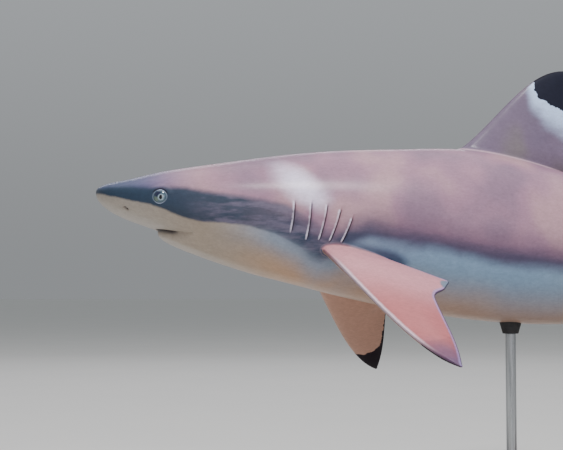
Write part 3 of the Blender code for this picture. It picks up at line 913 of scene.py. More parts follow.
def openForFin(bm, layers, fin, side):
    # cuts the blade's foot out of the net and fits the hole's rim to it
    place, centre = finPlace(fin, side), finTurn(fin, side)
    rounds = np.linspace(0, 2 * pi, 361)[:-1]
    level = rootLevel(fin, place, rounds, fin["fillet"])
    station, across, height = place(*bladePlane(fin, level, rounds, fin["fillet"]))
    turn = turnTowards(station, across, height)[0]
    radius = float(np.mean(halfWidth(np.sqrt(station))))
    flatX, flatY = station, wrapped(turn, centre) * radius

    def inside(stations, turns):
        return insidePolygon(stations, wrapped(turns, centre) * radius, flatX, flatY)

    loop = openHole(bm, layers, inside)
    rings, turns = netPlaces(loop, layers)
    x = ringStation(rings, foldedTurn(turns))
    y = wrapped(turns, centre) * radius
    nearest = np.argmin((x[:, None] - flatX) ** 2 + (y[:, None] - flatY) ** 2, axis=1)
    running = np.unwrap(rounds[nearest])
    if running[-1] < running[0]:
        loop.reverse()
        running = running[::-1]
    running = evenOut(np.maximum.accumulate(running), 2 * pi, 12)
    level = rootLevel(fin, place, running, fin["fillet"])
    station, across, height = place(*bladePlane(fin, level, running, fin["fillet"]))
    turn = turnTowards(station, across, height)[0]
    ring = ringAt(station, foldedTurn(turn))
    for vert, at, angle in zip(loop, ring, turn):
        setNet(vert, layers, at, angle)
    return {"fin": fin, "place": place, "loop": loop, "round": running, "rootLevel": level}


def openForEye(bm, layers, side):
    def local(stations, turns):
        across, height = onSection(stations, turns)
        x, y, _ = inEyeFrame(toWorld(stations, across, height), side)
        return x, y, np.sign(across) == side

    def inside(stations, turns):
        x, y, here = local(stations, turns)
        return here & ((x / eyeForm["halfLength"]) ** 2 + (y / eyeForm["halfHeight"]) ** 2 < 1)

    loop = openHole(bm, layers, inside)
    rings, turns = netPlaces(loop, layers)
    x, y, _ = local(ringStation(rings, foldedTurn(turns)), turns)
    running = np.unwrap(np.arctan2(y / eyeForm["halfHeight"], x / eyeForm["halfLength"]))
    if running[-1] < running[0]:
        loop.reverse()
        running = running[::-1]
    running = evenOut(running, 2 * pi, 80)
    middle, rearward, upward, _ = (np.array(v) for v in eyeFrame(side))
    target = middle + np.outer(np.cos(running) * eyeForm["halfLength"], rearward)
    target = target + np.outer(np.sin(running) * eyeForm["halfHeight"], upward)
    # the head is straight, so the world pose alone is undone here
    body = (target - poseShift) @ poseTurn / percent
    turn = turnTowards(body[:, 0], body[:, 1], body[:, 2])[0]
    ring = ringAt(body[:, 0], foldedTurn(turn))
    for vert, at, angle in zip(loop, ring, turn):
        setNet(vert, layers, at, angle)
    return {"loop": loop, "round": running, "side": side}


def nextLoop(bm, loop, points):
    # extrudes a rim once and puts the new rim's points in place
    pairs = list(zip(loop, loop[1:] + loop[:1]))
    edges = [bm.edges.get(pair) for pair in pairs]
    grown = bmesh.ops.extrude_edge_only(bm, edges=edges)
    fresh = {item for item in grown["geom"] if isinstance(item, bmesh.types.BMVert)}
    new = []
    for vert, point in zip(loop, points):
        twin = next(edge.other_vert(vert) for edge in vert.link_edges if edge.other_vert(vert) in fresh)
        twin.co = point
        new.append(twin)
    return new


def markFin(loop, layers, part, plane, off, share=1.0):
    for vert, place, distance in zip(loop, plane, off):
        vert[layers["part"]] = part
        vert[layers["share"]] = share
        vert[layers["planeU"]] = place[0]
        vert[layers["planeV"]] = place[1]
        vert[layers["offSide"]] = distance


def roundTip(bm, layers, part, place, loop, plane, off, chord, ahead):
    # rounds a blade over beyond its last chord, and closes it
    middle = plane.mean(0)
    width = np.linalg.norm(chord)
    outward = np.array((-chord[1], chord[0])) / width
    outward *= np.sign(outward @ np.array(ahead))
    for angle in finForm["tipBows"]:
        bow = radians(angle)
        shrunk = middle + (plane - middle) * cos(bow) + outward * width / 2 * sin(bow) * finForm["tipReach"]
        thin = off * (0.35 + 0.65 * cos(bow))
        loop = nextLoop(bm, loop, toWorld(*place(shrunk, thin)))
        markFin(loop, layers, part, shrunk, thin)
    bmesh.ops.pointmerge(bm, verts=loop, merge_co=sum((vert.co for vert in loop), Vector()) / len(loop))


def growFin(bm, layers, opening, part):
    fin, place = opening["fin"], opening["place"]
    loop, rounds = opening["loop"], opening["round"]
    even = rounds[0] + np.arange(len(rounds)) * 2 * pi / len(rounds)
    root = rootLevel(fin, place, rounds, 0.0)
    # the fillet curves from the skin at the foot towards the bare crossing, and onto the blade
    station, across, height = place(*bladePlane(fin, opening["rootLevel"], rounds, fin["fillet"]))
    foot = toWorld(station, *onSection(station, turnTowards(station, across, height)[0]))
    crossing = toWorld(*place(*bladePlane(fin, root, rounds)))
    inner = finForm["innerShare"]
    firstLevels, lastLevels = fin["levels"]
    span = np.linalg.norm(fin["leadTable"][-1] - fin["leadTable"][0])
    climbed = root + fin["fillet"] * 1.2 / span
    climbed = np.minimum(climbed, 0.5 * root + 0.5 * inner)
    top = toWorld(*place(*bladePlane(fin, climbed, rounds)))
    for share in finForm["footShares"]:
        points = foot * (1 - share) ** 2 + crossing * 2 * share * (1 - share) + top * share**2
        loop = nextLoop(bm, loop, points)
        plane, off = bladePlane(fin, root + (climbed - root) * share, rounds)
        markFin(loop, layers, part, plane, off, smoothStep(share))
    steps = [climbed + (inner - climbed) * i / firstLevels for i in range(1, firstLevels + 1)]
    steps += [np.full(rounds.shape, inner + (1 - inner) * i / lastLevels) for i in range(1, lastLevels + 1)]
    for number, level in enumerate(steps):
        ease = smoothStep((number + 1) / firstLevels)
        turned = rounds + (even - rounds) * ease
        plane, off = bladePlane(fin, level, turned)
        loop = nextLoop(bm, loop, toWorld(*place(plane, off)))
        markFin(loop, layers, part, plane, off)
    lead, trail = fin["leadTable"], fin["trailTable"]
    ahead = lead[-1] + trail[-1] - lead[-60] - trail[-60]
    roundTip(bm, layers, part, place, loop, plane, off, trail[-1] - lead[-1], ahead)


def tailTables():
    # the tail's upper edge, and its whole lower edge: down the lower lobe, up to the fork, along
    # the upper lobe to the notch and round the end lobe
    share, steps = finForm["tipShare"], outlineSteps
    stops = (0.0, tailForm["lowerTip"], tailForm["fork"], tailForm["notch"], 1.0)
    down, up, along, end = (
        np.clip((steps - first) / (last - first), 0, 1) for first, last in zip(stops, stops[1:])
    )
    edges = [
        bezierPoints(tailForm["lowerLead"], share * down**0.9),
        bezierPoints(tailForm["lowerTrail"], share * (1 - up)),
        bezierPoints(tailForm["upperTrail"], along),
        bezierPoints(tailForm["endLobe"], share * end),
    ]
    edge = edges[0]
    for first, points in zip(stops[1:], edges[1:]):
        edge = np.where((steps >= first)[:, None], points, edge)
    return bezierPoints(tailForm["upperLead"], share * steps), easedCorners(edge, tailForm["cornerSpread"])


tailLead, tailEdge = tailTables()
lowerFront = bezierPoints(tailForm["lowerLead"], outlineSteps)
lowerRear = bezierPoints(tailForm["lowerTrail"], outlineSteps)


def tailPlane(level, around):
    share = (1 - np.cos(around)) / 2
    lead, edge = outlineAt(tailLead, level), outlineAt(tailEdge, level)
    chord = edge - lead
    length = np.linalg.norm(chord, axis=-1)
    place = lead + chord * share[..., None]
    # a thick core behind the upper edge, drawn out thin towards the tip
    fork = tailForm["fork"]
    core = straightTable(tailForm["coreWidth"])(level)
    thick = tailForm["core"] * (1 - level) ** 1.7
    away = np.clip(share * length / core, 0, 1)
    oval = 2 * np.sqrt(away * (1 - away))
    blade = 2.35 * np.sqrt(away) * (1 - away) ** 1.3 * 1.15
    blend = smoothStep(level / (0.8 * fork))
    half = np.minimum(thick, 0.31 * length) * (oval * (1 - blend) + blade * blend)
    # the lower lobe is a thin fin of its own below the stalk
    root, tip = tailForm["lowerSpan"]
    below = -place[..., 1]
    depth = np.clip(below, root, tip)
    front = np.interp(depth, -lowerFront[:, 1], lowerFront[:, 0])
    rear = np.interp(depth, -lowerRear[:, 1], lowerRear[:, 0])
    across = np.clip((place[..., 0] - front) / np.maximum(rear - front, 0.05), 0, 1)
    lower = tailForm["lowerThickness"] / 2 * aerofoil(across) * smoothStep((below - 0.2) / 2.6)
    lower = lower * (1 - finForm["thinning"] * (depth - root) / (tip - root))
    web = tailForm["web"] * (1 - share) * smoothStep(level / fork)
    edgeRound = np.clip(np.abs(np.sin(around)) / 0.12, 0, 1)
    return place, (np.maximum(half, 0) + lower + web + finForm["rim"]) * edgeRound


def growTail(bm, layers, part):
    end = netForm["trunk"][1]
    loop = [vert for vert in bm.verts if vert.is_boundary and vert[layers["ring"]] > end - 0.01]
    loop.sort(key=lambda vert: netPlaces([vert], layers)[1][0])
    rounds = netPlaces(loop, layers)[1]
    across = onSection(np.full(rounds.shape, end), rounds)[0]
    stops = (0.0, tailForm["lowerTip"], tailForm["fork"], tailForm["notch"], 1.0)
    levels = []
    for first, last, count in zip(stops, stops[1:], tailForm["levels"]):
        levels += list(first + (last - first) * np.arange(1, count + 1) / count)
    for level in levels:
        plane, off = tailPlane(np.full(rounds.shape, level), rounds)
        # the first rings ease from the stalk's own section into the blade
        ease = smoothStep(level / tailForm["easeEnd"])
        signed = across * (1 - ease) - np.sign(np.sin(rounds)) * off * ease
        loop = nextLoop(bm, loop, toWorld(*midlinePlace(plane, signed)))
        markFin(loop, layers, part, plane, signed)
    roundTip(bm, layers, part, midlinePlace, loop, plane, signed, tailEdge[-1] - tailLead[-1], (1, 0))


def rimLids(bm, layers, opening):
    # the lids: the skin rolls over the opening's edge and down behind the eyeball
    side = opening["side"]
    middle, rearward, upward, outward = (np.array(v) for v in eyeFrame(side))
    loop, rounds = opening["loop"], opening["round"]
    start = np.array([vert.co[:] for vert in loop])
    level = (start - middle) @ outward
    upper = smoothStep(0.5 + 1.2 * np.sin(rounds))
    for inwards, topLift, lowLift in eyeForm["lidRoll"]:
        inwards = inwards * (1 + 0.45 * upper) / 1000
        lift = (topLift * upper + lowLift * (1 - upper)) / 1000
        x = np.cos(rounds) * (eyeForm["halfLength"] - inwards)
        y = np.sin(rounds) * (eyeForm["halfHeight"] - inwards)
        keep = level * (1 if topLift > 0 else 0.5)
        points = middle + np.outer(x, rearward) + np.outer(y, upward) + np.outer(keep + lift, outward)
        loop = nextLoop(bm, loop, points)
        for vert in loop:
            vert[layers["part"]] = -1.0 if topLift < 0 else -0.5
    ends = set(loop)
    bmesh.ops.holes_fill(
        bm, edges=[edge for edge in bm.edges if edge.is_boundary and edge.verts[0] in ends], sides=0
    )


finOrder = [
    ("firstDorsal", 0), ("secondDorsal", 0), ("anal", 0),
    ("pectoral", -1), ("pectoral", 1), ("pelvic", -1), ("pelvic", 1),
]
tailPart = len(finOrder) + 1
# where the net is made finer around each fin's foot: first and last station, reach in radians
finZones = {
    "firstDorsal": (28.6, 42.6, 0.36),
    "secondDorsal": (61.0, 69.8, 0.50),
    "anal": (60.6, 69.4, 0.50),
    "pectoral": (16.9, 27.2, 0.42),
    "pelvic": (45.9, 54.4, 0.42),
}


def nearNostrils(station, turn):
    lengthwise, wide = nostrilPlace(station, foldedTurn(turn))
    (length, width), (first, last) = netForm["nostrilReach"], netForm["nostrilStations"]
    inReach = (np.abs(lengthwise) < length) & (np.abs(wide) < width)
    return inReach & (station > first) & (station < last)


def nearDetail(station, turn):
    # round the nostrils, the eyes and the fins' feet
    near = nearNostrils(station, turn)
    points = toWorld(station, *onSection(station, turn))
    for side in (-1, 1):
        x, y, out = inEyeFrame(points, side)
        near |= (np.hypot(x, y) < netForm["eyeReach"]) & (np.abs(out) < netForm["eyeReach"])
    for name, side in finOrder:
        first, last, reach = finZones[name]
        away = np.abs(wrapped(turn, finTurn(fins[name], side)))
        near |= (station > first) & (station < last) & (away < reach)
    return near


def makeSkinNet():
    bm, layers = newNet()
    refine(bm, layers, nearDetail)
    refine(bm, layers, nearNostrils)
    print("net refined:", len(bm.verts), "points")
    eyes = [openForEye(bm, layers, side) for side in (-1, 1)]
    openings = [openForFin(bm, layers, fins[name], side) for name, side in finOrder]
    for opening in eyes:
        relaxAround(layers, opening["loop"], netForm["eyeEasing"])
    for opening in openings:
        relaxAround(layers, opening["loop"], netForm["finEasing"])
    for vert, point in zip(bm.verts, bodyPoints(*netPlaces(bm.verts, layers))):
        vert.co = point
    print("body laid out")
    for part, opening in enumerate(openings, start=1):
        growFin(bm, layers, opening, part)
    growTail(bm, layers, tailPart)
    for opening in eyes:
        rimLids(bm, layers, opening)
    bmesh.ops.recalc_face_normals(bm, faces=bm.faces)
    print("fins and lids grown:", len(bm.verts), "points")
    return bm


skinNet = makeSkinNet()
skinMesh = bpy.data.meshes.new("sharkSkin")
skinNet.to_mesh(skinMesh)
print("open edges:", sum(edge.is_boundary for edge in skinNet.edges))
print("triangles:", sum(len(face.verts) - 2 for face in skinNet.faces))
skinNet.free()
skinMesh.shade_smooth()
skin = bpy.data.objects.new("shark_skin_body", skinMesh)
bpy.context.scene.collection.objects.link(skin)
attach(skin, "root")
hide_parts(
    "head", "lower_jaw", "gills", "trunk_front", "trunk_rear", "tail_stalk", "first_dorsal_fin",
    "second_dorsal_fin", "anal_fin", "pectoral_fin_left", "pectoral_fin_right", "pelvic_fin_left",
    "pelvic_fin_right", "caudal_upper_lobe", "caudal_lower_lobe",
)

# ---- what the colours follow: distances in millimetres and shares, kept on the skin's points

markForm = {
    # station: height of the line between the dark back and the pale side
    "line": {
        0.0: -0.20, 1.25: -0.55, 2.9: -0.86, 4.5: -1.10, 5.5: -1.36, 6.9: -1.88, 8.55: -2.18,
        10.5: -2.15, 12.5: -2.22, 14.5: -2.62, 15.6: -3.05, 16.6: -3.45, 17.6: -4.1, 18.4: -4.4,
        19.4: -4.1, 20.6: -3.1, 22.1: -2.35, 24.6: -2.49, 27.1: -2.68, 29.6: -3.03, 33.0: -3.27,
        38.4: -3.39, 44.0: -2.60, 52.0: -0.90, 62.0: -0.60, 72.0: -0.70, 75.5: -2.0, 78.5: -6.5,
        82.0: -14.0,
    },
    # the painted blue water light over the belly isn't let down with the dark hook before the pectoral fin
    "paleLowest": -3.3,
    # station: height of the slate band's upper edge
    "bandTop": {
        0.0: 0.10, 1.5: 0.20, 3.55: 0.35, 5.9: 0.46, 8.3: 0.31, 10.7: 0.02, 13.1: -0.07, 15.2: -0.30,
        18.0: -1.6, 22.0: -4.0,
    },
    # millimetres of white below the black tip, at the fin's front and rear
    "whiteWidth": (9.0, 44.0),
    "whiteEdge": (1.4, 1.6),  # in these widths: where the white ends, and how softly
    "whiteFront": 2.5,  # millimetres that it keeps off the leading edge
    # a dark trailing edge begins at this share of the fin's height, and widens over this share
    "darkEdge": (0.3, 0.6),
    # the painted highlight over the gills: station, millimetres above the line, half length and height
    "highlightPlace": (16.2, 66.0, 30.0, 19.0),
    # the first station and the stations over which the stalk takes on the fins' grey
    "finGrey": (64.0, 15.0, 0.9),
    # the tail's dark lower tip: depth under the spine at a station, and how its edge slants
    "lowerTipDark": (7.3, 80, 0.25),
    # its dark end tip: station at a height over the spine, and how its edge slants
    "endTipDark": (96.2, 10, 0.3),
    "marginDark": 3.6,  # millimetres
    # the white over the lower tip: strength, and millimetres where it begins and to where it is full
    "lowerWhite": (0.35, 26, 22),
    # a pectoral fin's free rear tip: how far its own colour reaches, in spans and their millimetres
    "freeTip": (1.7, 7.5),
    "eyeReach": (0.012, 30),  # metres off the eye's own plane, and millimetres round its rim
    # the painted shade behind a pectoral fin starts under its root, in the fin's plane
    "armpitShadeStart": [(2.0, -0.75), (3.3, -0.75)],
    "armpitShadeStations": (16, 32),
}
skinFields = (
    "aboveLine", "aboveBand", "along", "inkDepth", "edgeGap", "frontGap", "finShare", "whiteShare",
    "pairedShare", "upperSide", "freeTip", "reach", "creaseShade", "flapHighlight", "eyeGap", "armpitShade", "highlightPlace",
    "offBody", "abovePale",
)
far = 100.0  # stands for nowhere near, in millimetres


def distanceToLine(points, line):
    nearest = np.full(len(points), 1e9)
    for start, end in zip(line[:-1], line[1:]):
        way = end - start
        share = np.clip((points - start) @ way / max(way @ way, 1e-12), 0, 1)
        nearest = np.minimum(nearest, np.linalg.norm(points - start - share[:, None] * way, axis=1))
    return nearest / oneMm


def finGrey(station):
    first, length, most = markForm["finGrey"]
    return most * smoothStep((station - first) / length)


def finMarks(fin, plane, fields, chosen):
    # the dark tip is everything beyond its lower edge
    ink = np.array(fin["inkLine"], float)
    outwards = np.array((0.0, 12.0 * np.sign(fin["lead"][-1][1] - fin["lead"][0][1])))
    tip = np.vstack([ink, ink[-1] + outwards, ink[0] + outwards])
    inside = insidePolygon(plane[:, 0], plane[:, 1], tip[:, 0], tip[:, 1])
    depth = distanceToLine(plane, ink) * np.where(inside, 1, -1)
    front = distanceToLine(plane, fin["leadTable"][::8])
    rear = distanceToLine(plane, fin["trailTable"][::8])
    width = markForm["whiteWidth"][0] + np.diff(markForm["whiteWidth"]) * (front / (front + rear + 1e-6))
    ends, soft = markForm["whiteEdge"]
    white = smoothStep((width * ends + depth) / (width * soft)) * smoothStep(front / markForm["whiteFront"])
    reach = np.clip(plane[:, 1] / fin["lead"][-1][1], 0, 1)
    begins, span = markForm["darkEdge"]
    darkEdge = fin.get("darkEdge", 0) * smoothStep((reach - begins) / span)
    fields["inkDepth"][chosen] = np.maximum(depth, darkEdge - rear - 0.4)
    fields["frontGap"][chosen] = front
    fields["edgeGap"][chosen] = rear
    fields["whiteShare"][chosen] = fin["pale"] * white
    fields["reach"][chosen] = reach


def tailMarks(plane, fields, chosen):
    x, y = plane[:, 0], plane[:, 1]
    rear = distanceToLine(plane, tailEdge[120::4])
    front = np.minimum(distanceToLine(plane, tailLead[::8]), distanceToLine(plane, lowerFront[::20]))
    depth, station, slant = markForm["lowerTipDark"]
    lower = (-y - depth + slant * (x - station)) / oneMm
    station, height, slant = markForm["endTipDark"]
    end = (x - station + slant * (y - height)) / oneMm
    strength, begins, span = markForm["lowerWhite"]
    fields["inkDepth"][chosen] = np.maximum(np.maximum(lower, end), markForm["marginDark"] - rear)
    fields["frontGap"][chosen] = front
    fields["edgeGap"][chosen] = rear
    white = strength * smoothStep((lower + begins) / span)
    fields["whiteShare"][chosen] = white * smoothStep((8 - y) / 6) * (y < -1)


def skinFieldValues(mesh, layers):
    # every colour field at every point, worked out from the net's own layers
    ring, turnCos, turnSin, part, planeU, planeV, offSide, share = layers
    turn = np.arctan2(turnSin, turnCos) % (2 * pi)
    marks = skinMarks(ring, turn)
    count = len(ring)
    tipSpans, tipSpan = markForm["freeTip"]
    eyeOff, eyeRound = markForm["eyeReach"]
    fields = {name: np.zeros(count) for name in skinFields}
    for name in ("inkDepth", "edgeGap", "frontGap", "eyeGap", "armpitShade", "highlightPlace"):
        fields[name] += -far if name == "inkDepth" else far
    station, height = marks["station"].copy(), marks["height"] - marks["jaw"] * oneMm
    onBody = part < 0.5
    fields["creaseShade"] = np.where(onBody, marks["creaseShade"], 0)
    fields["flapHighlight"] = np.where(onBody, marks["flap"], 0)
    fields["finShare"] = np.where(onBody, finGrey(station), share)
    plane = np.stack([planeU, planeV], -1)
    for number, (name, side) in enumerate(finOrder, start=1):
        fin = fins[name]
        chosen = np.abs(part - number) < 0.3
        placed = finPlace(fin, side)(plane[chosen], offSide[chosen])
        station[chosen], height[chosen] = placed[0], placed[2]
        fields["offBody"][chosen] = share[chosen]
        finMarks(fin, plane[chosen], fields, chosen)
        if side:
            fields["pairedShare"][chosen] = share[chosen] * fin["ownColour"]
            fields["upperSide"][chosen] = smoothStep(0.5 + offSide[chosen] / 0.06)
            freeTip = np.array(fin.get("freeMiddle", fin["inner"][-1]))
            away = np.linalg.norm(plane[chosen] - freeTip, axis=1) / oneMm
            fields["freeTip"][chosen] = smoothStep(tipSpans - away / tipSpan)
    chosen = np.abs(part - tailPart) < 0.3
    station[chosen], height[chosen] = planeU[chosen], planeV[chosen]
    fields["finShare"][chosen] = finGrey(planeU[chosen])
    tailMarks(plane[chosen], fields, chosen)
    line = straightTable(markForm["line"])(station)
    fields["along"] = station
    fields["aboveLine"] = (height - line) / oneMm
    fields["abovePale"] = (height - np.maximum(line, markForm["paleLowest"])) / oneMm
    fields["aboveBand"] = (height - straightTable(markForm["bandTop"])(station)) / oneMm
    # how far each point lies from the middle of the painted highlight over the gills
    highlightStation, highlightAbove, highlightLength, highlightHeight = markForm["highlightPlace"]
    fields["highlightPlace"] = np.hypot(
        (station - highlightStation) / oneMm / highlightLength, (fields["aboveLine"] - highlightAbove) / highlightHeight
    )
    points = np.empty(count * 3)
    mesh.vertices.foreach_get("co", points)
    points = points.reshape(-1, 3)
    # distances to the line along which shade is painted behind each pectoral fin
    armpitShadeEdge = np.vstack([markForm["armpitShadeStart"], fins["pectoral"]["trailTable"][0:70:8]])
    first, last = markForm["armpitShadeStations"]
    for side in (-1, 1):
        edge = toWorld(*finPlace(fins["pectoral"], side)(armpitShadeEdge, np.zeros(len(armpitShadeEdge))))
        chosen = (onBody | (share < 0.9)) & (station > first) & (station < last)
        nearest = distanceToLine(points[chosen], edge) * oneMm * 1000
        fields["armpitShade"][chosen] = np.minimum(nearest, fields["armpitShade"][chosen])
        x, y, z = inEyeFrame(points, side)
        away = np.hypot(x / eyeForm["halfLength"], y / eyeForm["halfHeight"])
        gap = (away - 1) * 1000 * (eyeForm["halfLength"] + eyeForm["halfHeight"]) / 2
        near = (np.abs(z) < eyeOff) & (gap < eyeRound)
        fields["eyeGap"] = np.where(near, gap, fields["eyeGap"])
    return fields


def keepFields(mesh):
    layers = []
    for name in netLayers:
        values = np.empty(len(mesh.vertices), np.float32)
        mesh.attributes[name].data.foreach_get("value", values)
        layers.append(values.astype(float))
    for name in netLayers:
        mesh.attributes.remove(mesh.attributes[name])
    for name, values in skinFieldValues(mesh, layers).items():
        field = mesh.attributes.new(name, "FLOAT", "POINT")
        field.data.foreach_set("value", values.astype(np.float32))


keepFields(skinMesh)
print("colour fields laid out:", len(skinFields))

# ---- eyeballs

eyeballForm = {"segments": 72, "rings": 44}


def makeEyeball(side, name):
    # a ball flattened against the head, which the lids' rims close around
    middle, rearward, upward, outward = eyeFrame(side)
    heart = middle + outward * (eyeForm["proud"] - eyeForm["depth"])
    bm = bmesh.new()
    bmesh.ops.create_uvsphere(
        bm, u_segments=eyeballForm["segments"], v_segments=eyeballForm["rings"], radius=1
    )
    layers = [bm.verts.layers.float.new(word) for word in ("eyeAcross", "eyeUp")]
    for vert in bm.verts:
        vert[layers[0]] = vert.co.x * eyeForm["radius"] * 1000
        vert[layers[1]] = vert.co.y * eyeForm["radius"] * 1000
    sizes = (eyeForm["radius"], eyeForm["radius"], eyeForm["depth"])
    turned = Matrix([rearward * sizes[0], upward * sizes[1], outward * sizes[2]]).transposed().to_4x4()
    bmesh.ops.transform(bm, matrix=Matrix.Translation(heart) @ turned, verts=bm.verts)
    bmesh.ops.recalc_face_normals(bm, faces=bm.faces)
    mesh = bpy.data.meshes.new(name)
    bm.to_mesh(mesh)
    bm.free()
    mesh.shade_smooth()
    eyeball = bpy.data.objects.new(name, mesh)
    bpy.context.scene.collection.objects.link(eyeball)
    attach(eyeball, "root")
    return eyeball


eyeballs = [makeEyeball(-1, "shark_eyeball_left"), makeEyeball(1, "shark_eyeball_right")]
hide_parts("eye_left")
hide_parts("eye_right")
print("eyeballs set in their lids")

# ---- finishes


def colour(code):
    # an sRGB hex value as the linear values that the shaders work in
    shares = [int(code[i : i + 2], 16) / 255 for i in (1, 3, 5)]
    return (*(c / 12.92 if c <= 0.04045 else ((c + 0.055) / 1.055) ** 2.4 for c in shares), 1.0)


def addNode(tree, kind, settings=None, links=None):
    # settings are the node's own, or its inputs' by name or number; links join inputs to sockets
    node = tree.nodes.new(kind)
    for key, value in (settings or {}).items():
        if isinstance(key, str) and hasattr(node, key):
            setattr(node, key, value)
        else:
            node.inputs[key].default_value = value
    for key, socket in (links or {}).items():
        tree.links.new(socket, node.inputs[key])
    return node


def newFinish(name, shaderSettings):
    material = bpy.data.materials.new(name)
    material.use_nodes = True
    tree = material.node_tree
    tree.nodes.clear()
    shader = addNode(tree, "ShaderNodeBsdfPrincipled", shaderSettings)
    addNode(tree, "ShaderNodeOutputMaterial", {}, {"Surface": shader.outputs[0]})
    place = addNode(tree, "ShaderNodeTexCoord").outputs["Object"]
    return material, tree, shader, place
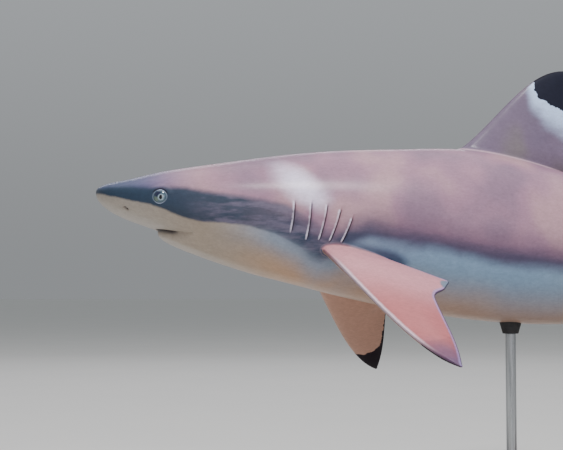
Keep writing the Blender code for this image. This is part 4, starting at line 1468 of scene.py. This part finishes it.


# Shark skin: living hide covered in tiny scales, all lying tailwards. It has no gloss of its own,
# only a soft wet sheen; the colour is in the hide, so its edges are cloudy, never drawn.
# Painted light lies in the hide's colours too: painted highlights over the gills, on the gill flaps, along
# the pectoral fins' leading edges and the unpaired fins' bases; painted dappled light and shade; painted
# shade in the slits, inside the lids and behind the pectoral fins; and painted sand and water light on the
# pale side and the paired fins.
skinFinish = {
    "shader": {"IOR": 1.42, "Specular IOR Level": 0.18, "Coat Roughness": 0.20, "Coat IOR": 1.33},
    # millimetres of one feature, detail, roughness, how much longer than high
    "noises": {
        "cloud": (80, 1.5, 0.50, 0.9),
        "blotch": (34, 3.0, 0.55, 1.8),
        "streak": (9, 3.5, 0.60, 5.0),
        "mottle": (7, 4.0, 0.62, 1.3),
        "ragged": (6, 3.0, 0.65, 1.0),
        "grain": (2.2, 2.0, 0.60, 1.8),
    },
    # scales are 0.25 mm across on this animal: drawn 1.5 mm across, or they wouldn't show
    "scaleSize": 1.5,
    "scaleLength": 0.6,  # below 1 they are longer than high
    "scaleHeight": 0.00012,
    "scaleStrength": 0.5,
    # how far single scales stray from the colour, coarse and fine
    "speckle": (0.30, 0.34),
    # roughness of the hide, how far its streaks change it, and what the black tips add
    "roughness": (0.42, 0.20, 0.25),
    # the wet coat's weight, and what the dry black tips take from it
    "wetness": (0.24, -0.22),
    "darkTipAbove": 0.12,  # share of the dark tips that shows on the pectoral fins' upper faces
    # mask: what it follows, by which noise and how much it strays, where it begins and is full
    "masks": {
        "trunk": ("along", "cloud", 4.0, 11.0, 18.0),
        "rear": ("along", "cloud", 3.0, 17.0, 25.0),
        "snout": ("along", "blotch", 1.5, 9.5, 3.0),
        "cheek": ("along", "blotch", 2.0, 19.0, 9.0),
        "jowlLong": ("along", "blotch", 2.0, 9.0, 15.0),
        "nose": ("along", "blotch", 1.5, 6.5, 1.5),
        "brow": ("along", "cloud", 3.0, 12.0, 7.0),
        "bandLong": ("along", "blotch", 6.0, 21.0, 11.0),
        "bandHigh": ("aboveBand", "blotch", 10.0, 4.0, -4.0),
        "bandRear": ("along", "blotch", 2.0, 6.5, 11.0),
        "streaks": ("none", "streak", 1.0, -0.12, 0.14),
        "gillLong": ("along", "blotch", 3.0, 11.5, 16.0),
        "gillEnd": ("along", "blotch", 3.0, 25.0, 19.0),
        "gillHigh": ("aboveLine", "streak", 16.0, 36.0, 8.0),
        # a painted highlight: the wet sheen over the gills
        "shoulderHighlight": ("highlightPlace", "blotch", 0.9, 1.45, 0.20),
        "teal": ("abovePale", "cloud", 16.0, -78.0, -14.0),
        "jowl": ("aboveLine", "blotch", 10.0, -34.0, -4.0),
        "dusk": ("aboveLine", "blotch", 22.0, 46.0, 10.0),
        "duskCore": ("aboveLine", "streak", 12.0, 24.0, 4.0),
        "darkHead": ("aboveLine", "mottle", 2.4, -1.6, 1.6),
        "darkTrunk": ("aboveLine", "blotch", 14.0, -9.0, 9.0),
        # painted dappled light and shade, as the water's caustics throw
        "dappleLight": ("none", "cloud", 1.0, -0.02, 0.14),
        "dappleShade": ("none", "cloud", 1.0, 0.03, -0.15),
        "fin": ("finShare", "none", 0.0, 0.0, 1.0),
        "paired": ("pairedShare", "none", 0.0, 0.0, 1.0),
        "pairedSolid": ("pairedShare", "none", 0.0, 0.5, 1.0),
        "upper": ("upperSide", "none", 0.0, 0.25, 0.75),
        "under": ("upperSide", "none", 0.0, 0.75, 0.25),
        "white": ("whiteShare", "streak", 0.45, 0.05, 0.95),
        "outer": ("reach", "cloud", 0.2, 0.18, 0.62),
        "tip": ("reach", "blotch", 0.15, 0.76, 0.98),
        "freeTip": ("freeTip", "none", 0.0, 0.2, 0.8),
        # painted highlight along the leading edges
        "leadHighlight": ("frontGap", "mottle", 1.2, 3.2, 0.9),
        "leadLine": ("frontGap", "none", 0.0, 1.2, 0.3),
        "trailGlow": ("edgeGap", "mottle", 1.0, 4.4, 2.0),
        "trailLine": ("edgeGap", "none", 0.0, 1.3, 0.5),
        "ink": ("inkDepth", "ragged", 6.0, -0.5, 0.5),
        # painted shade in the slits, the nostrils and over the upper lids
        "creaseShade": ("creaseShade", "none", 0.0, 0.10, 0.95),
        # painted highlight along the gill flaps' edges
        "flap": ("flapHighlight", "mottle", 0.9, 0.20, 0.85),
        "lid": ("eyeGap", "none", 0.0, 0.7, 0.0),
        # painted shade inside the lids, behind the eyeball
        "lidInsideShade": ("eyeGap", "none", 0.0, -0.8, -1.4),
        # painted shade on the body behind the pectoral fins
        "armpitShade": ("armpitShade", "blotch", 8.0, 17.0, 6.0),
        "leadNear": ("reach", "none", 0.0, 0.02, 0.22),
        "leadFar": ("reach", "none", 0.0, 0.96, 0.74),
        # painted highlight along the fins' bases
        "baseRise": ("finShare", "none", 0.0, 0.02, 0.30),
        "baseFall": ("finShare", "none", 0.0, 0.85, 0.40),
        "single": ("pairedShare", "none", 0.0, 0.3, 0.0),
        "beforeTail": ("offBody", "none", 0.0, 0.0, 0.01),
        "farRear": ("along", "cloud", 6.0, 34.0, 56.0),
    },
    # masks that hold only together
    "together": {
        "sideTeal": ("teal", "rear"),
        "jowlTeal": ("jowl", "jowlLong"),
        "trunkDusk": ("dusk", "trunk"),
        "trunkDuskCore": ("duskCore", "trunk"),
        "band": ("bandHigh", "bandLong"),
        "bandFaded": ("bandHigh", "bandRear"),
        "bandStreak": ("bandFaded", "streaks"),
        "gillSpan": ("gillLong", "gillEnd"),
        "gillShade": ("gillSpan", "gillHigh"),
        "pairedUpper": ("paired", "upper"),
        "pairedUnder": ("pairedSolid", "under"),
        "pairedOuter": ("pairedUpper", "outer"),
        "pairedTip": ("pairedUpper", "tip"),
        "pairedFree": ("paired", "freeTip"),
        "leadWhere": ("leadNear", "leadFar"),
        "leadHighlightOn": ("leadHighlight", "leadWhere"),
        "pairedLeadHighlight": ("pairedUpper", "leadHighlightOn"),
        "baseHighlight": ("baseRise", "baseFall"),
        "singleSpan": ("single", "beforeTail"),
        "singleBaseHighlight": ("baseHighlight", "singleSpan"),
        "tailPale": ("teal", "farRear"),
        "finOlive": ("fin", "dappleLight"),
        "pairedTrail": ("pairedUpper", "trailGlow"),
        "pairedLine": ("paired", "trailLine"),
        "finLead": ("fin", "leadLine"),
    },
    # the pale side is white in life: its warm tan is painted light thrown up from the sand below
    "pale": "#c49a79",
    "palePaint": [
        ("cheek", "#9d968a", 0.80),
        ("snout", "#a69d93", 0.85),
        # painted blue light of the water over the upper part of the pale side
        ("jowlTeal", "#8499b0", 0.85),
        ("sideTeal", "#7b96b0", 0.95),
        ("tailPale", "#a3a7a6", 0.75),
    ],
    "dark": "#a17c8f",
    "darkPaint": [
        # painted dappled light and shade, as the water's caustics throw
        ("dappleLight", "#b9949a", 0.75),
        ("dappleShade", "#836c80", 0.75),
        ("brow", "#ae8790", 0.60),
        ("snout", "#625f8b", 0.88),
        ("nose", "#43506e", 0.92),
        # painted highlight over the gills
        ("shoulderHighlight", "#ece2fb", 0.92),
        ("trunkDusk", "#6d5468", 0.75),
        ("trunkDuskCore", "#434159", 0.88),
        ("gillShade", "#39455c", 0.92),
        ("band", "#303f50", 0.97),
        ("bandStreak", "#72697d", 0.75),
    ],
    "finPaint": [
        # painted shade on the body behind each pectoral fin, where the fin shadows it
        ("armpitShade", "#37435e", 0.85),
        ("fin", "#6c6277", 0.88),
        ("finOlive", "#75716a", 0.60),
        # painted highlight along the unpaired fins' bases
        ("singleBaseHighlight", "#d8b9c4", 0.55),
        ("white", "#c6dcff", 1.00),
        # the paired fins' undersides are whitish in life: their tan-brown is painted warm light reflected
        # from below
        ("pairedUnder", "#c99b86", 1.00),
        # the pectoral fins' upper faces: partly their own colour, partly pink painted light from above,
        # deepest towards their outer part
        ("pairedUpper", "#d0929a", 1.00),
        ("pairedOuter", "#b46464", 0.88),
        ("pairedTip", "#514970", 0.82),
        ("pairedTrail", "#a594c8", 0.70),
        ("pairedFree", "#6d8291", 0.92),
        # painted highlight along the pectoral fins' leading edges
        ("pairedLeadHighlight", "#fbe6f2", 0.85),
        ("finLead", "#4d3f4f", 0.60),
        ("pairedLine", "#2c2138", 0.85),
        ("inkHere", "#080317", 0.98),
        # painted highlight along the gill flaps' edges
        ("flap", "#ece4f8", 0.72),
        # painted shade in the gill slits, the mouth's slit, the nostrils and over the upper lids
        ("creaseShade", "#1f1a26", 0.88),
        ("lid", "#7e8b9b", 0.55),
        # painted shade inside the lids, behind the eyeball
        ("lidInsideShade", "#1c1a22", 0.95),
    ],
}


def makeSkinFinish():
    material, tree, shader, place = newFinish("sharkHide", skinFinish["shader"])
    turned = (0, -radians(bodyForm["noseUp"]), 0)
    noises = {}
    for name, (size, detail, rough, longer) in skinFinish["noises"].items():
        along = addNode(
            tree, "ShaderNodeMapping", {"Rotation": turned, "Scale": (1 / longer, 1, 1)}, {"Vector": place}
        )
        noise = addNode(
            tree, "ShaderNodeTexNoise", {"Scale": 1000 / size, "Detail": detail, "Roughness": rough},
            {"Vector": along.outputs[0]},
        )
        centred = addNode(tree, "ShaderNodeMath", {"operation": "SUBTRACT", 1: 0.5}, {0: noise.outputs[0]})
        noises[name] = centred.outputs[0]
    fields = {
        name: addNode(tree, "ShaderNodeAttribute", {"attribute_name": name}).outputs["Fac"]
        for name in skinFields
    }
    masks = {}
    for name, (field, noise, stray, begins, full) in skinFinish["masks"].items():
        value = fields.get(field)
        if noise in noises:
            strayed = addNode(
                tree, "ShaderNodeMath", {"operation": "MULTIPLY_ADD", 1: stray, 2: 0.0}, {0: noises[noise]}
            )
            if value is not None:
                tree.links.new(value, strayed.inputs[2])
            value = strayed.outputs[0]
        masks[name] = addNode(
            tree, "ShaderNodeMapRange",
            {"interpolation_type": "SMOOTHSTEP", "From Min": begins, "From Max": full}, {"Value": value},
        ).outputs[0]
    for name, (one, other) in skinFinish["together"].items():
        both = addNode(tree, "ShaderNodeMath", {"operation": "MULTIPLY"}, {0: masks[one], 1: masks[other]})
        masks[name] = both.outputs[0]
    # the dark tips show on the paired fins' undersides, and only faintly above
    kept = addNode(
        tree, "ShaderNodeMath", {"operation": "MULTIPLY_ADD", 1: skinFinish["darkTipAbove"] - 1, 2: 1.0},
        {0: masks["pairedUpper"]},
    )
    masks["inkHere"] = addNode(
        tree, "ShaderNodeMath", {"operation": "MULTIPLY"}, {0: masks["ink"], 1: kept.outputs[0]}
    ).outputs[0]
    # the line between back and belly is crisp on the head and cloudy on the trunk
    edge = addNode(
        tree, "ShaderNodeMix", {}, {0: masks["trunk"], 2: masks["darkHead"], 3: masks["darkTrunk"]}
    ).outputs[0]

    def painted(base, coats):
        for name, code, strength in coats:
            weight = addNode(
                tree, "ShaderNodeMath", {"operation": "MULTIPLY", 1: strength}, {0: masks[name]}
            )
            coat = addNode(
                tree, "ShaderNodeMix", {"data_type": "RGBA", 7: colour(code)}, {0: weight.outputs[0]}
            )
            if isinstance(base, str):
                coat.inputs[6].default_value = colour(base)
            else:
                tree.links.new(base, coat.inputs[6])
            base = coat.outputs[2]
        return base

    paleSide = painted(skinFinish["pale"], skinFinish["palePaint"])
    darkSide = painted(skinFinish["dark"], skinFinish["darkPaint"])
    body = addNode(tree, "ShaderNodeMix", {"data_type": "RGBA"}, {0: edge, 6: paleSide, 7: darkSide})
    whole = painted(body.outputs[2], skinFinish["finPaint"])
    # fine speckle: every scale a little lighter or darker than the next
    coarse, fine = skinFinish["speckle"]
    speckle = addNode(
        tree, "ShaderNodeMath", {"operation": "MULTIPLY_ADD", 1: coarse, 2: 1.0}, {0: noises["mottle"]}
    )
    speckle = addNode(
        tree, "ShaderNodeMath", {"operation": "MULTIPLY_ADD", 1: fine},
        {0: noises["grain"], 2: speckle.outputs[0]},
    )
    toned = addNode(
        tree, "ShaderNodeVectorMath", {"operation": "SCALE"}, {0: whole, "Scale": speckle.outputs[0]}
    )
    tree.links.new(toned.outputs[0], shader.inputs["Base Color"])
    # the black tips are drier and duller
    hide, streaks, tips = skinFinish["roughness"]
    rough = addNode(
        tree, "ShaderNodeMath", {"operation": "MULTIPLY_ADD", 1: streaks, 2: hide}, {0: noises["streak"]}
    )
    rough = addNode(
        tree, "ShaderNodeMath", {"operation": "MULTIPLY_ADD", 1: tips},
        {0: masks["inkHere"], 2: rough.outputs[0]},
    )
    tree.links.new(rough.outputs[0], shader.inputs["Roughness"])
    hide, tips = skinFinish["wetness"]
    wetness = addNode(
        tree, "ShaderNodeMath", {"operation": "MULTIPLY_ADD", 1: tips, 2: hide}, {0: masks["inkHere"]}
    )
    tree.links.new(wetness.outputs[0], shader.inputs["Coat Weight"])
    # the scales' relief
    lengthened = addNode(
        tree, "ShaderNodeMapping", {"Rotation": turned, "Scale": (skinFinish["scaleLength"], 1, 1)},
        {"Vector": place},
    )
    scales = addNode(
        tree, "ShaderNodeTexVoronoi", {"feature": "SMOOTH_F1", "Scale": 1000 / skinFinish["scaleSize"]},
        {"Vector": lengthened.outputs[0]},
    )
    relief = addNode(
        tree, "ShaderNodeMath", {"operation": "MULTIPLY_ADD", 1: 2.0},
        {0: noises["mottle"], 2: scales.outputs["Distance"]},
    )
    bump = addNode(
        tree, "ShaderNodeBump",
        {"Strength": skinFinish["scaleStrength"], "Distance": skinFinish["scaleHeight"]},
        {"Height": relief.outputs[0]},
    )
    tree.links.new(bump.outputs[0], shader.inputs["Normal"])
    return material


skinMesh.materials.append(makeSkinFinish())

# Glass eye: a painted iris under a clear domed front, which gives the wet point of light.
eyeFinish = {
    "shader": {"Roughness": 0.18, "IOR": 1.45, "Coat Weight": 1.0, "Coat Roughness": 0.03, "Coat IOR": 1.45},
    "base": "#405867",
    "grainSize": 1 / 1.1,  # the iris's flecks, in millimetres
    "grainTone": (0.78, 1.18),
    # millimetres tailwards and up of the middle, half sizes, where the edge begins and is full
    "patches": {
        "rim": (0.0, 0.0, 7.7, 7.1, 0.92, 1.02),
        "rimDark": (0.3, -0.2, 6.9, 6.3, 0.86, 0.98),
        "rimInside": (0.3, -0.2, 6.9, 6.3, 1.10, 0.99),
        "olive": (-3.4, -2.8, 4.2, 3.2, 1.15, 0.45),
        # painted shade across the iris's upper front
        "irisShade": (-2.3, 2.6, 4.5, 3.5, 1.20, 0.62),
        "ring": (1.7, -0.8, 3.2, 3.4, 1.25, 0.72),
        "pupil": (1.7, -0.8, 1.8, 2.6, 1.06, 0.90),
    },
    "paint": [
        ("olive", "#6f7d66", 0.65),
        # painted shade across the iris's upper front
        ("irisShade", "#10183c", 0.95),
        ("darkRing", "#2f4551", 0.75),
        ("rim", "#98a5c4", 0.62),
        ("ring", "#a3b7c2", 0.80),
        ("pupil", "#030406", 1.00),
    ],
}


def makeEyeFinish():
    material, tree, shader, _ = newFinish("paintedGlassEye", eyeFinish["shader"])
    across, upwards = (
        addNode(tree, "ShaderNodeAttribute", {"attribute_name": name}).outputs["Fac"]
        for name in ("eyeAcross", "eyeUp")
    )
    flat = addNode(tree, "ShaderNodeCombineXYZ", {}, {"X": across, "Y": upwards})
    grain = addNode(
        tree, "ShaderNodeTexNoise",
        {"Scale": 1 / eyeFinish["grainSize"], "Detail": 4.0, "Roughness": 0.6}, {"Vector": flat.outputs[0]},
    )
    masks = {}
    for name, (x, y, halfX, halfY, begins, full) in eyeFinish["patches"].items():
        moved = addNode(
            tree, "ShaderNodeVectorMath", {"operation": "SUBTRACT", 1: (x, y, 0)}, {0: flat.outputs[0]}
        )
        sized = addNode(
            tree, "ShaderNodeVectorMath", {"operation": "DIVIDE", 1: (halfX, halfY, 1)},
            {0: moved.outputs[0]},
        )
        away = addNode(tree, "ShaderNodeVectorMath", {"operation": "LENGTH"}, {0: sized.outputs[0]})
        masks[name] = addNode(
            tree, "ShaderNodeMapRange",
            {"interpolation_type": "SMOOTHSTEP", "From Min": begins, "From Max": full},
            {"Value": away.outputs["Value"]},
        ).outputs[0]
    masks["darkRing"] = addNode(
        tree, "ShaderNodeMath", {"operation": "MULTIPLY"}, {0: masks["rimDark"], 1: masks["rimInside"]}
    ).outputs[0]
    base = None
    for name, code, strength in eyeFinish["paint"]:
        weight = addNode(tree, "ShaderNodeMath", {"operation": "MULTIPLY", 1: strength}, {0: masks[name]})
        coat = addNode(
            tree, "ShaderNodeMix", {"data_type": "RGBA", 6: colour(eyeFinish["base"]), 7: colour(code)},
            {0: weight.outputs[0]},
        )
        if base is not None:
            tree.links.new(base, coat.inputs[6])
        base = coat.outputs[2]
    dim, bright = eyeFinish["grainTone"]
    tone = addNode(
        tree, "ShaderNodeMapRange", {"From Min": 0.3, "From Max": 0.7, "To Min": dim, "To Max": bright},
        {"Value": grain.outputs[0]},
    )
    toned = addNode(
        tree, "ShaderNodeVectorMath", {"operation": "SCALE"}, {0: base, "Scale": tone.outputs[0]}
    )
    tree.links.new(toned.outputs[0], shader.inputs["Base Color"])
    return material


eyeGlass = makeEyeFinish()
for eyeball in eyeballs:
    eyeball.data.materials.append(eyeGlass)
print("skin and eyes painted")

# Walnut, planed and stained dark, under a satin lacquer: long grain with fine dark pores.
woodFinish = {
    "shader": {"Roughness": 0.34, "IOR": 1.5, "Coat Weight": 0.35, "Coat Roughness": 0.22},
    # millimetres from one late-wood line to the next, and of one pore
    "sizes": (7.0, 1.1),
    "stretch": (0.06, 1, 1),  # the grain runs along the base
    "height": 0.0002,
    "light": "#6b4226",
    "dark": "#2f1a10",
    "pore": "#150b06",
}
# Stainless steel bar, turned and brushed along its length: grey, with a streaky sheen.
steelFinish = {
    "shader": {"Metallic": 1.0, "Roughness": 0.30, "Anisotropic": 0.4},
    "sizes": (3.2, 0.8),  # real lines are 0.1 mm: drawn coarser
    "stretch": (1, 1, 0.02),
    "height": 0.00004,
    "light": "#c9cbcd",
    "dark": "#9da0a3",
}
# Moulded rubber: black, dull, faintly dusty on its raised grain.
rubberFinish = {
    "shader": {"Roughness": 0.72, "IOR": 1.52},
    "sizes": (9.6, 1.6),
    "stretch": (1, 1, 1),
    "height": 0.0001,
    "light": "#2b2b2c",
    "dark": "#161617",
}
standLook = {
    "toneEdges": (0.35, 0.65),  # where in the broad noise the dark tone ends and the light is full
    "poreEdges": (0.42, 0.30),  # where in the fine noise pores begin and are full
    "poreStrength": 0.75,
    "wear": (0.07, 0.08),  # how much glossier and duller than its roughness a finish gets
    "relief": 0.4,
}


def makeStandFinish(name, finish):
    # two tones streaked by one noise, and a finer one for pores or scratches
    material, tree, shader, place = newFinish(name, finish["shader"])
    stretched = addNode(tree, "ShaderNodeMapping", {"Scale": finish["stretch"]}, {"Vector": place})
    broadScale, fineScale = (1000 / size for size in finish["sizes"])
    broad = addNode(
        tree, "ShaderNodeTexNoise",
        {"Scale": broadScale, "Detail": 4.0, "Roughness": 0.6, "Distortion": 0.4},
        {"Vector": stretched.outputs[0]},
    )
    fine = addNode(
        tree, "ShaderNodeTexNoise", {"Scale": fineScale, "Detail": 3.0, "Roughness": 0.6},
        {"Vector": stretched.outputs[0]},
    )
    begins, full = standLook["toneEdges"]
    tone = addNode(
        tree, "ShaderNodeMapRange", {"From Min": begins, "From Max": full}, {"Value": broad.outputs[0]}
    )
    base = addNode(
        tree, "ShaderNodeMix", {"data_type": "RGBA", 6: colour(finish["dark"]), 7: colour(finish["light"])},
        {0: tone.outputs[0]},
    )
    begins, full = standLook["poreEdges"]
    pores = addNode(
        tree, "ShaderNodeMapRange",
        {"From Min": begins, "From Max": full, "To Max": standLook["poreStrength"]},
        {"Value": fine.outputs[0]},
    )
    inlaid = addNode(
        tree, "ShaderNodeMix", {"data_type": "RGBA", 7: colour(finish.get("pore", finish["dark"]))},
        {0: pores.outputs[0], 6: base.outputs[2]},
    )
    tree.links.new(inlaid.outputs[2], shader.inputs["Base Color"])
    rough, (glossier, duller) = finish["shader"]["Roughness"], standLook["wear"]
    worn = addNode(
        tree, "ShaderNodeMapRange",
        {"From Min": 0.3, "From Max": 0.7, "To Min": rough - glossier, "To Max": rough + duller},
        {"Value": fine.outputs[0]},
    )
    tree.links.new(worn.outputs[0], shader.inputs["Roughness"])
    bump = addNode(
        tree, "ShaderNodeBump", {"Strength": standLook["relief"], "Distance": finish["height"]},
        {"Height": fine.outputs[0]},
    )
    tree.links.new(bump.outputs[0], shader.inputs["Normal"])
    return material


walnut = makeStandFinish("stainedWalnut", woodFinish)
steel = makeStandFinish("brushedSteel", steelFinish)
rubber = makeStandFinish("mouldedRubber", rubberFinish)
standFinishes = {"base": walnut, "rod": steel, "flange": steel, "saddle": rubber}
for name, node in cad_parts.items():
    if name.startswith("stand_"):
        for holder in node.material_slots:
            holder.material = standFinishes[name.split("_")[1]]
print("stand finished")

# ---- floor, light and camera

# Seamless studio paper: matt and pale, with the faintest cloudiness of its pulp.
floorFinish = {
    "shader": {"Roughness": 0.85, "IOR": 1.4},
    "halfSize": 30,  # metres
    "cloud": 260.0,
    "light": "#d9d9d5",
    "dark": "#d2d3d0",
}


def makeFloor():
    bm = bmesh.new()
    bmesh.ops.create_grid(bm, x_segments=4, y_segments=4, size=floorFinish["halfSize"])
    mesh = bpy.data.meshes.new("floorPaper")
    bm.to_mesh(mesh)
    bm.free()
    floor = bpy.data.objects.new("floorPaper", mesh)
    bpy.context.scene.collection.objects.link(floor)
    material, tree, shader, place = newFinish("seamlessPaper", floorFinish["shader"])
    noise = addNode(
        tree, "ShaderNodeTexNoise", {"Scale": 1000 / floorFinish["cloud"], "Detail": 3.0}, {"Vector": place}
    )
    base = addNode(
        tree, "ShaderNodeMix",
        {"data_type": "RGBA", 6: colour(floorFinish["dark"]), 7: colour(floorFinish["light"])},
        {0: noise.outputs[0]},
    )
    tree.links.new(base.outputs[2], shader.inputs["Base Color"])
    mesh.materials.append(material)


studio = {
    "background": "#d5d9dd",
    # how bright the backdrop is at eye level, where it meets the floor, and overhead
    "backgroundStrength": (0.42, 0.60),
    "backgroundRise": 0.30,
    # name: place, what it faces, size in metres, watts, colour
    "lamps": {
        "ceilingSoftbox": ((-0.10, 0.60, 3.2), (-0.1, 0.4, 0.0), (4.5, 3.5), 66.0, "#fff8fb"),
        "shoulderLamp": ((-0.18, -0.85, 1.62), (-0.34, 0.0, 0.35), (0.30, 0.30), 20.0, "#ffffff"),
        "rimStrip": ((-0.3, 2.6, 1.60), (-0.3, 0.0, 0.38), (2.8, 0.25), 10.0, "#f8f6ff"),
        "sideFill": ((0.2, -3.4, 1.3), (0.0, 0.0, 0.2), (2.8, 1.6), 26.0, "#f6f3ff"),
    },
    "cameraPlace": (-0.5532, -1.3963, 0.2385),
    "cameraAzimuth": -7.0,
    "cameraElevation": -3.0,
    "lens": 78.841918,  # millimetres, on a sensor 36 mm wide
    "sensorWidth": 36,
}


def makeStudio():
    scene = bpy.context.scene
    world = bpy.data.worlds.new("paleStudio")
    world.use_nodes = True
    tree = world.node_tree
    backdrop = tree.nodes["Background"]
    backdrop.inputs["Color"].default_value = colour(studio["background"])
    low, high = studio["backgroundStrength"]
    towards = addNode(tree, "ShaderNodeTexCoord").outputs["Generated"]
    upwards = addNode(tree, "ShaderNodeSeparateXYZ", {}, {0: towards}).outputs[2]
    rising = addNode(
        tree, "ShaderNodeMapRange",
        {
            "interpolation_type": "SMOOTHSTEP", "From Min": 0.0, "From Max": studio["backgroundRise"],
            "To Min": low, "To Max": high,
        },
        {"Value": upwards},
    )
    tree.links.new(rising.outputs[0], backdrop.inputs["Strength"])
    scene.world = world
    for name, (place, aim, size, watts, tint) in studio["lamps"].items():
        lamp = bpy.data.lights.new(name, "AREA")
        lamp.shape = "RECTANGLE"
        lamp.size, lamp.size_y = size
        lamp.energy = watts
        lamp.color = colour(tint)[:3]
        holder = bpy.data.objects.new(name, lamp)
        holder.location = place
        holder.rotation_euler = (Vector(place) - Vector(aim)).to_track_quat("Z", "Y").to_euler()
        scene.collection.objects.link(holder)
    camera = bpy.data.objects.new("camera", bpy.data.cameras.new("camera"))
    azimuth, elevation = radians(studio["cameraAzimuth"]), radians(studio["cameraElevation"])
    backwards = (sin(azimuth) * cos(elevation), -cos(azimuth) * cos(elevation), sin(elevation))
    camera.location = studio["cameraPlace"]
    camera.rotation_euler = Vector(backwards).to_track_quat("Z", "Y").to_euler()
    camera.data.sensor_fit = "HORIZONTAL"
    camera.data.sensor_width = studio["sensorWidth"]
    camera.data.lens = studio["lens"]
    scene.collection.objects.link(camera)
    scene.camera = camera


makeFloor()
makeStudio()
print("studio ready")
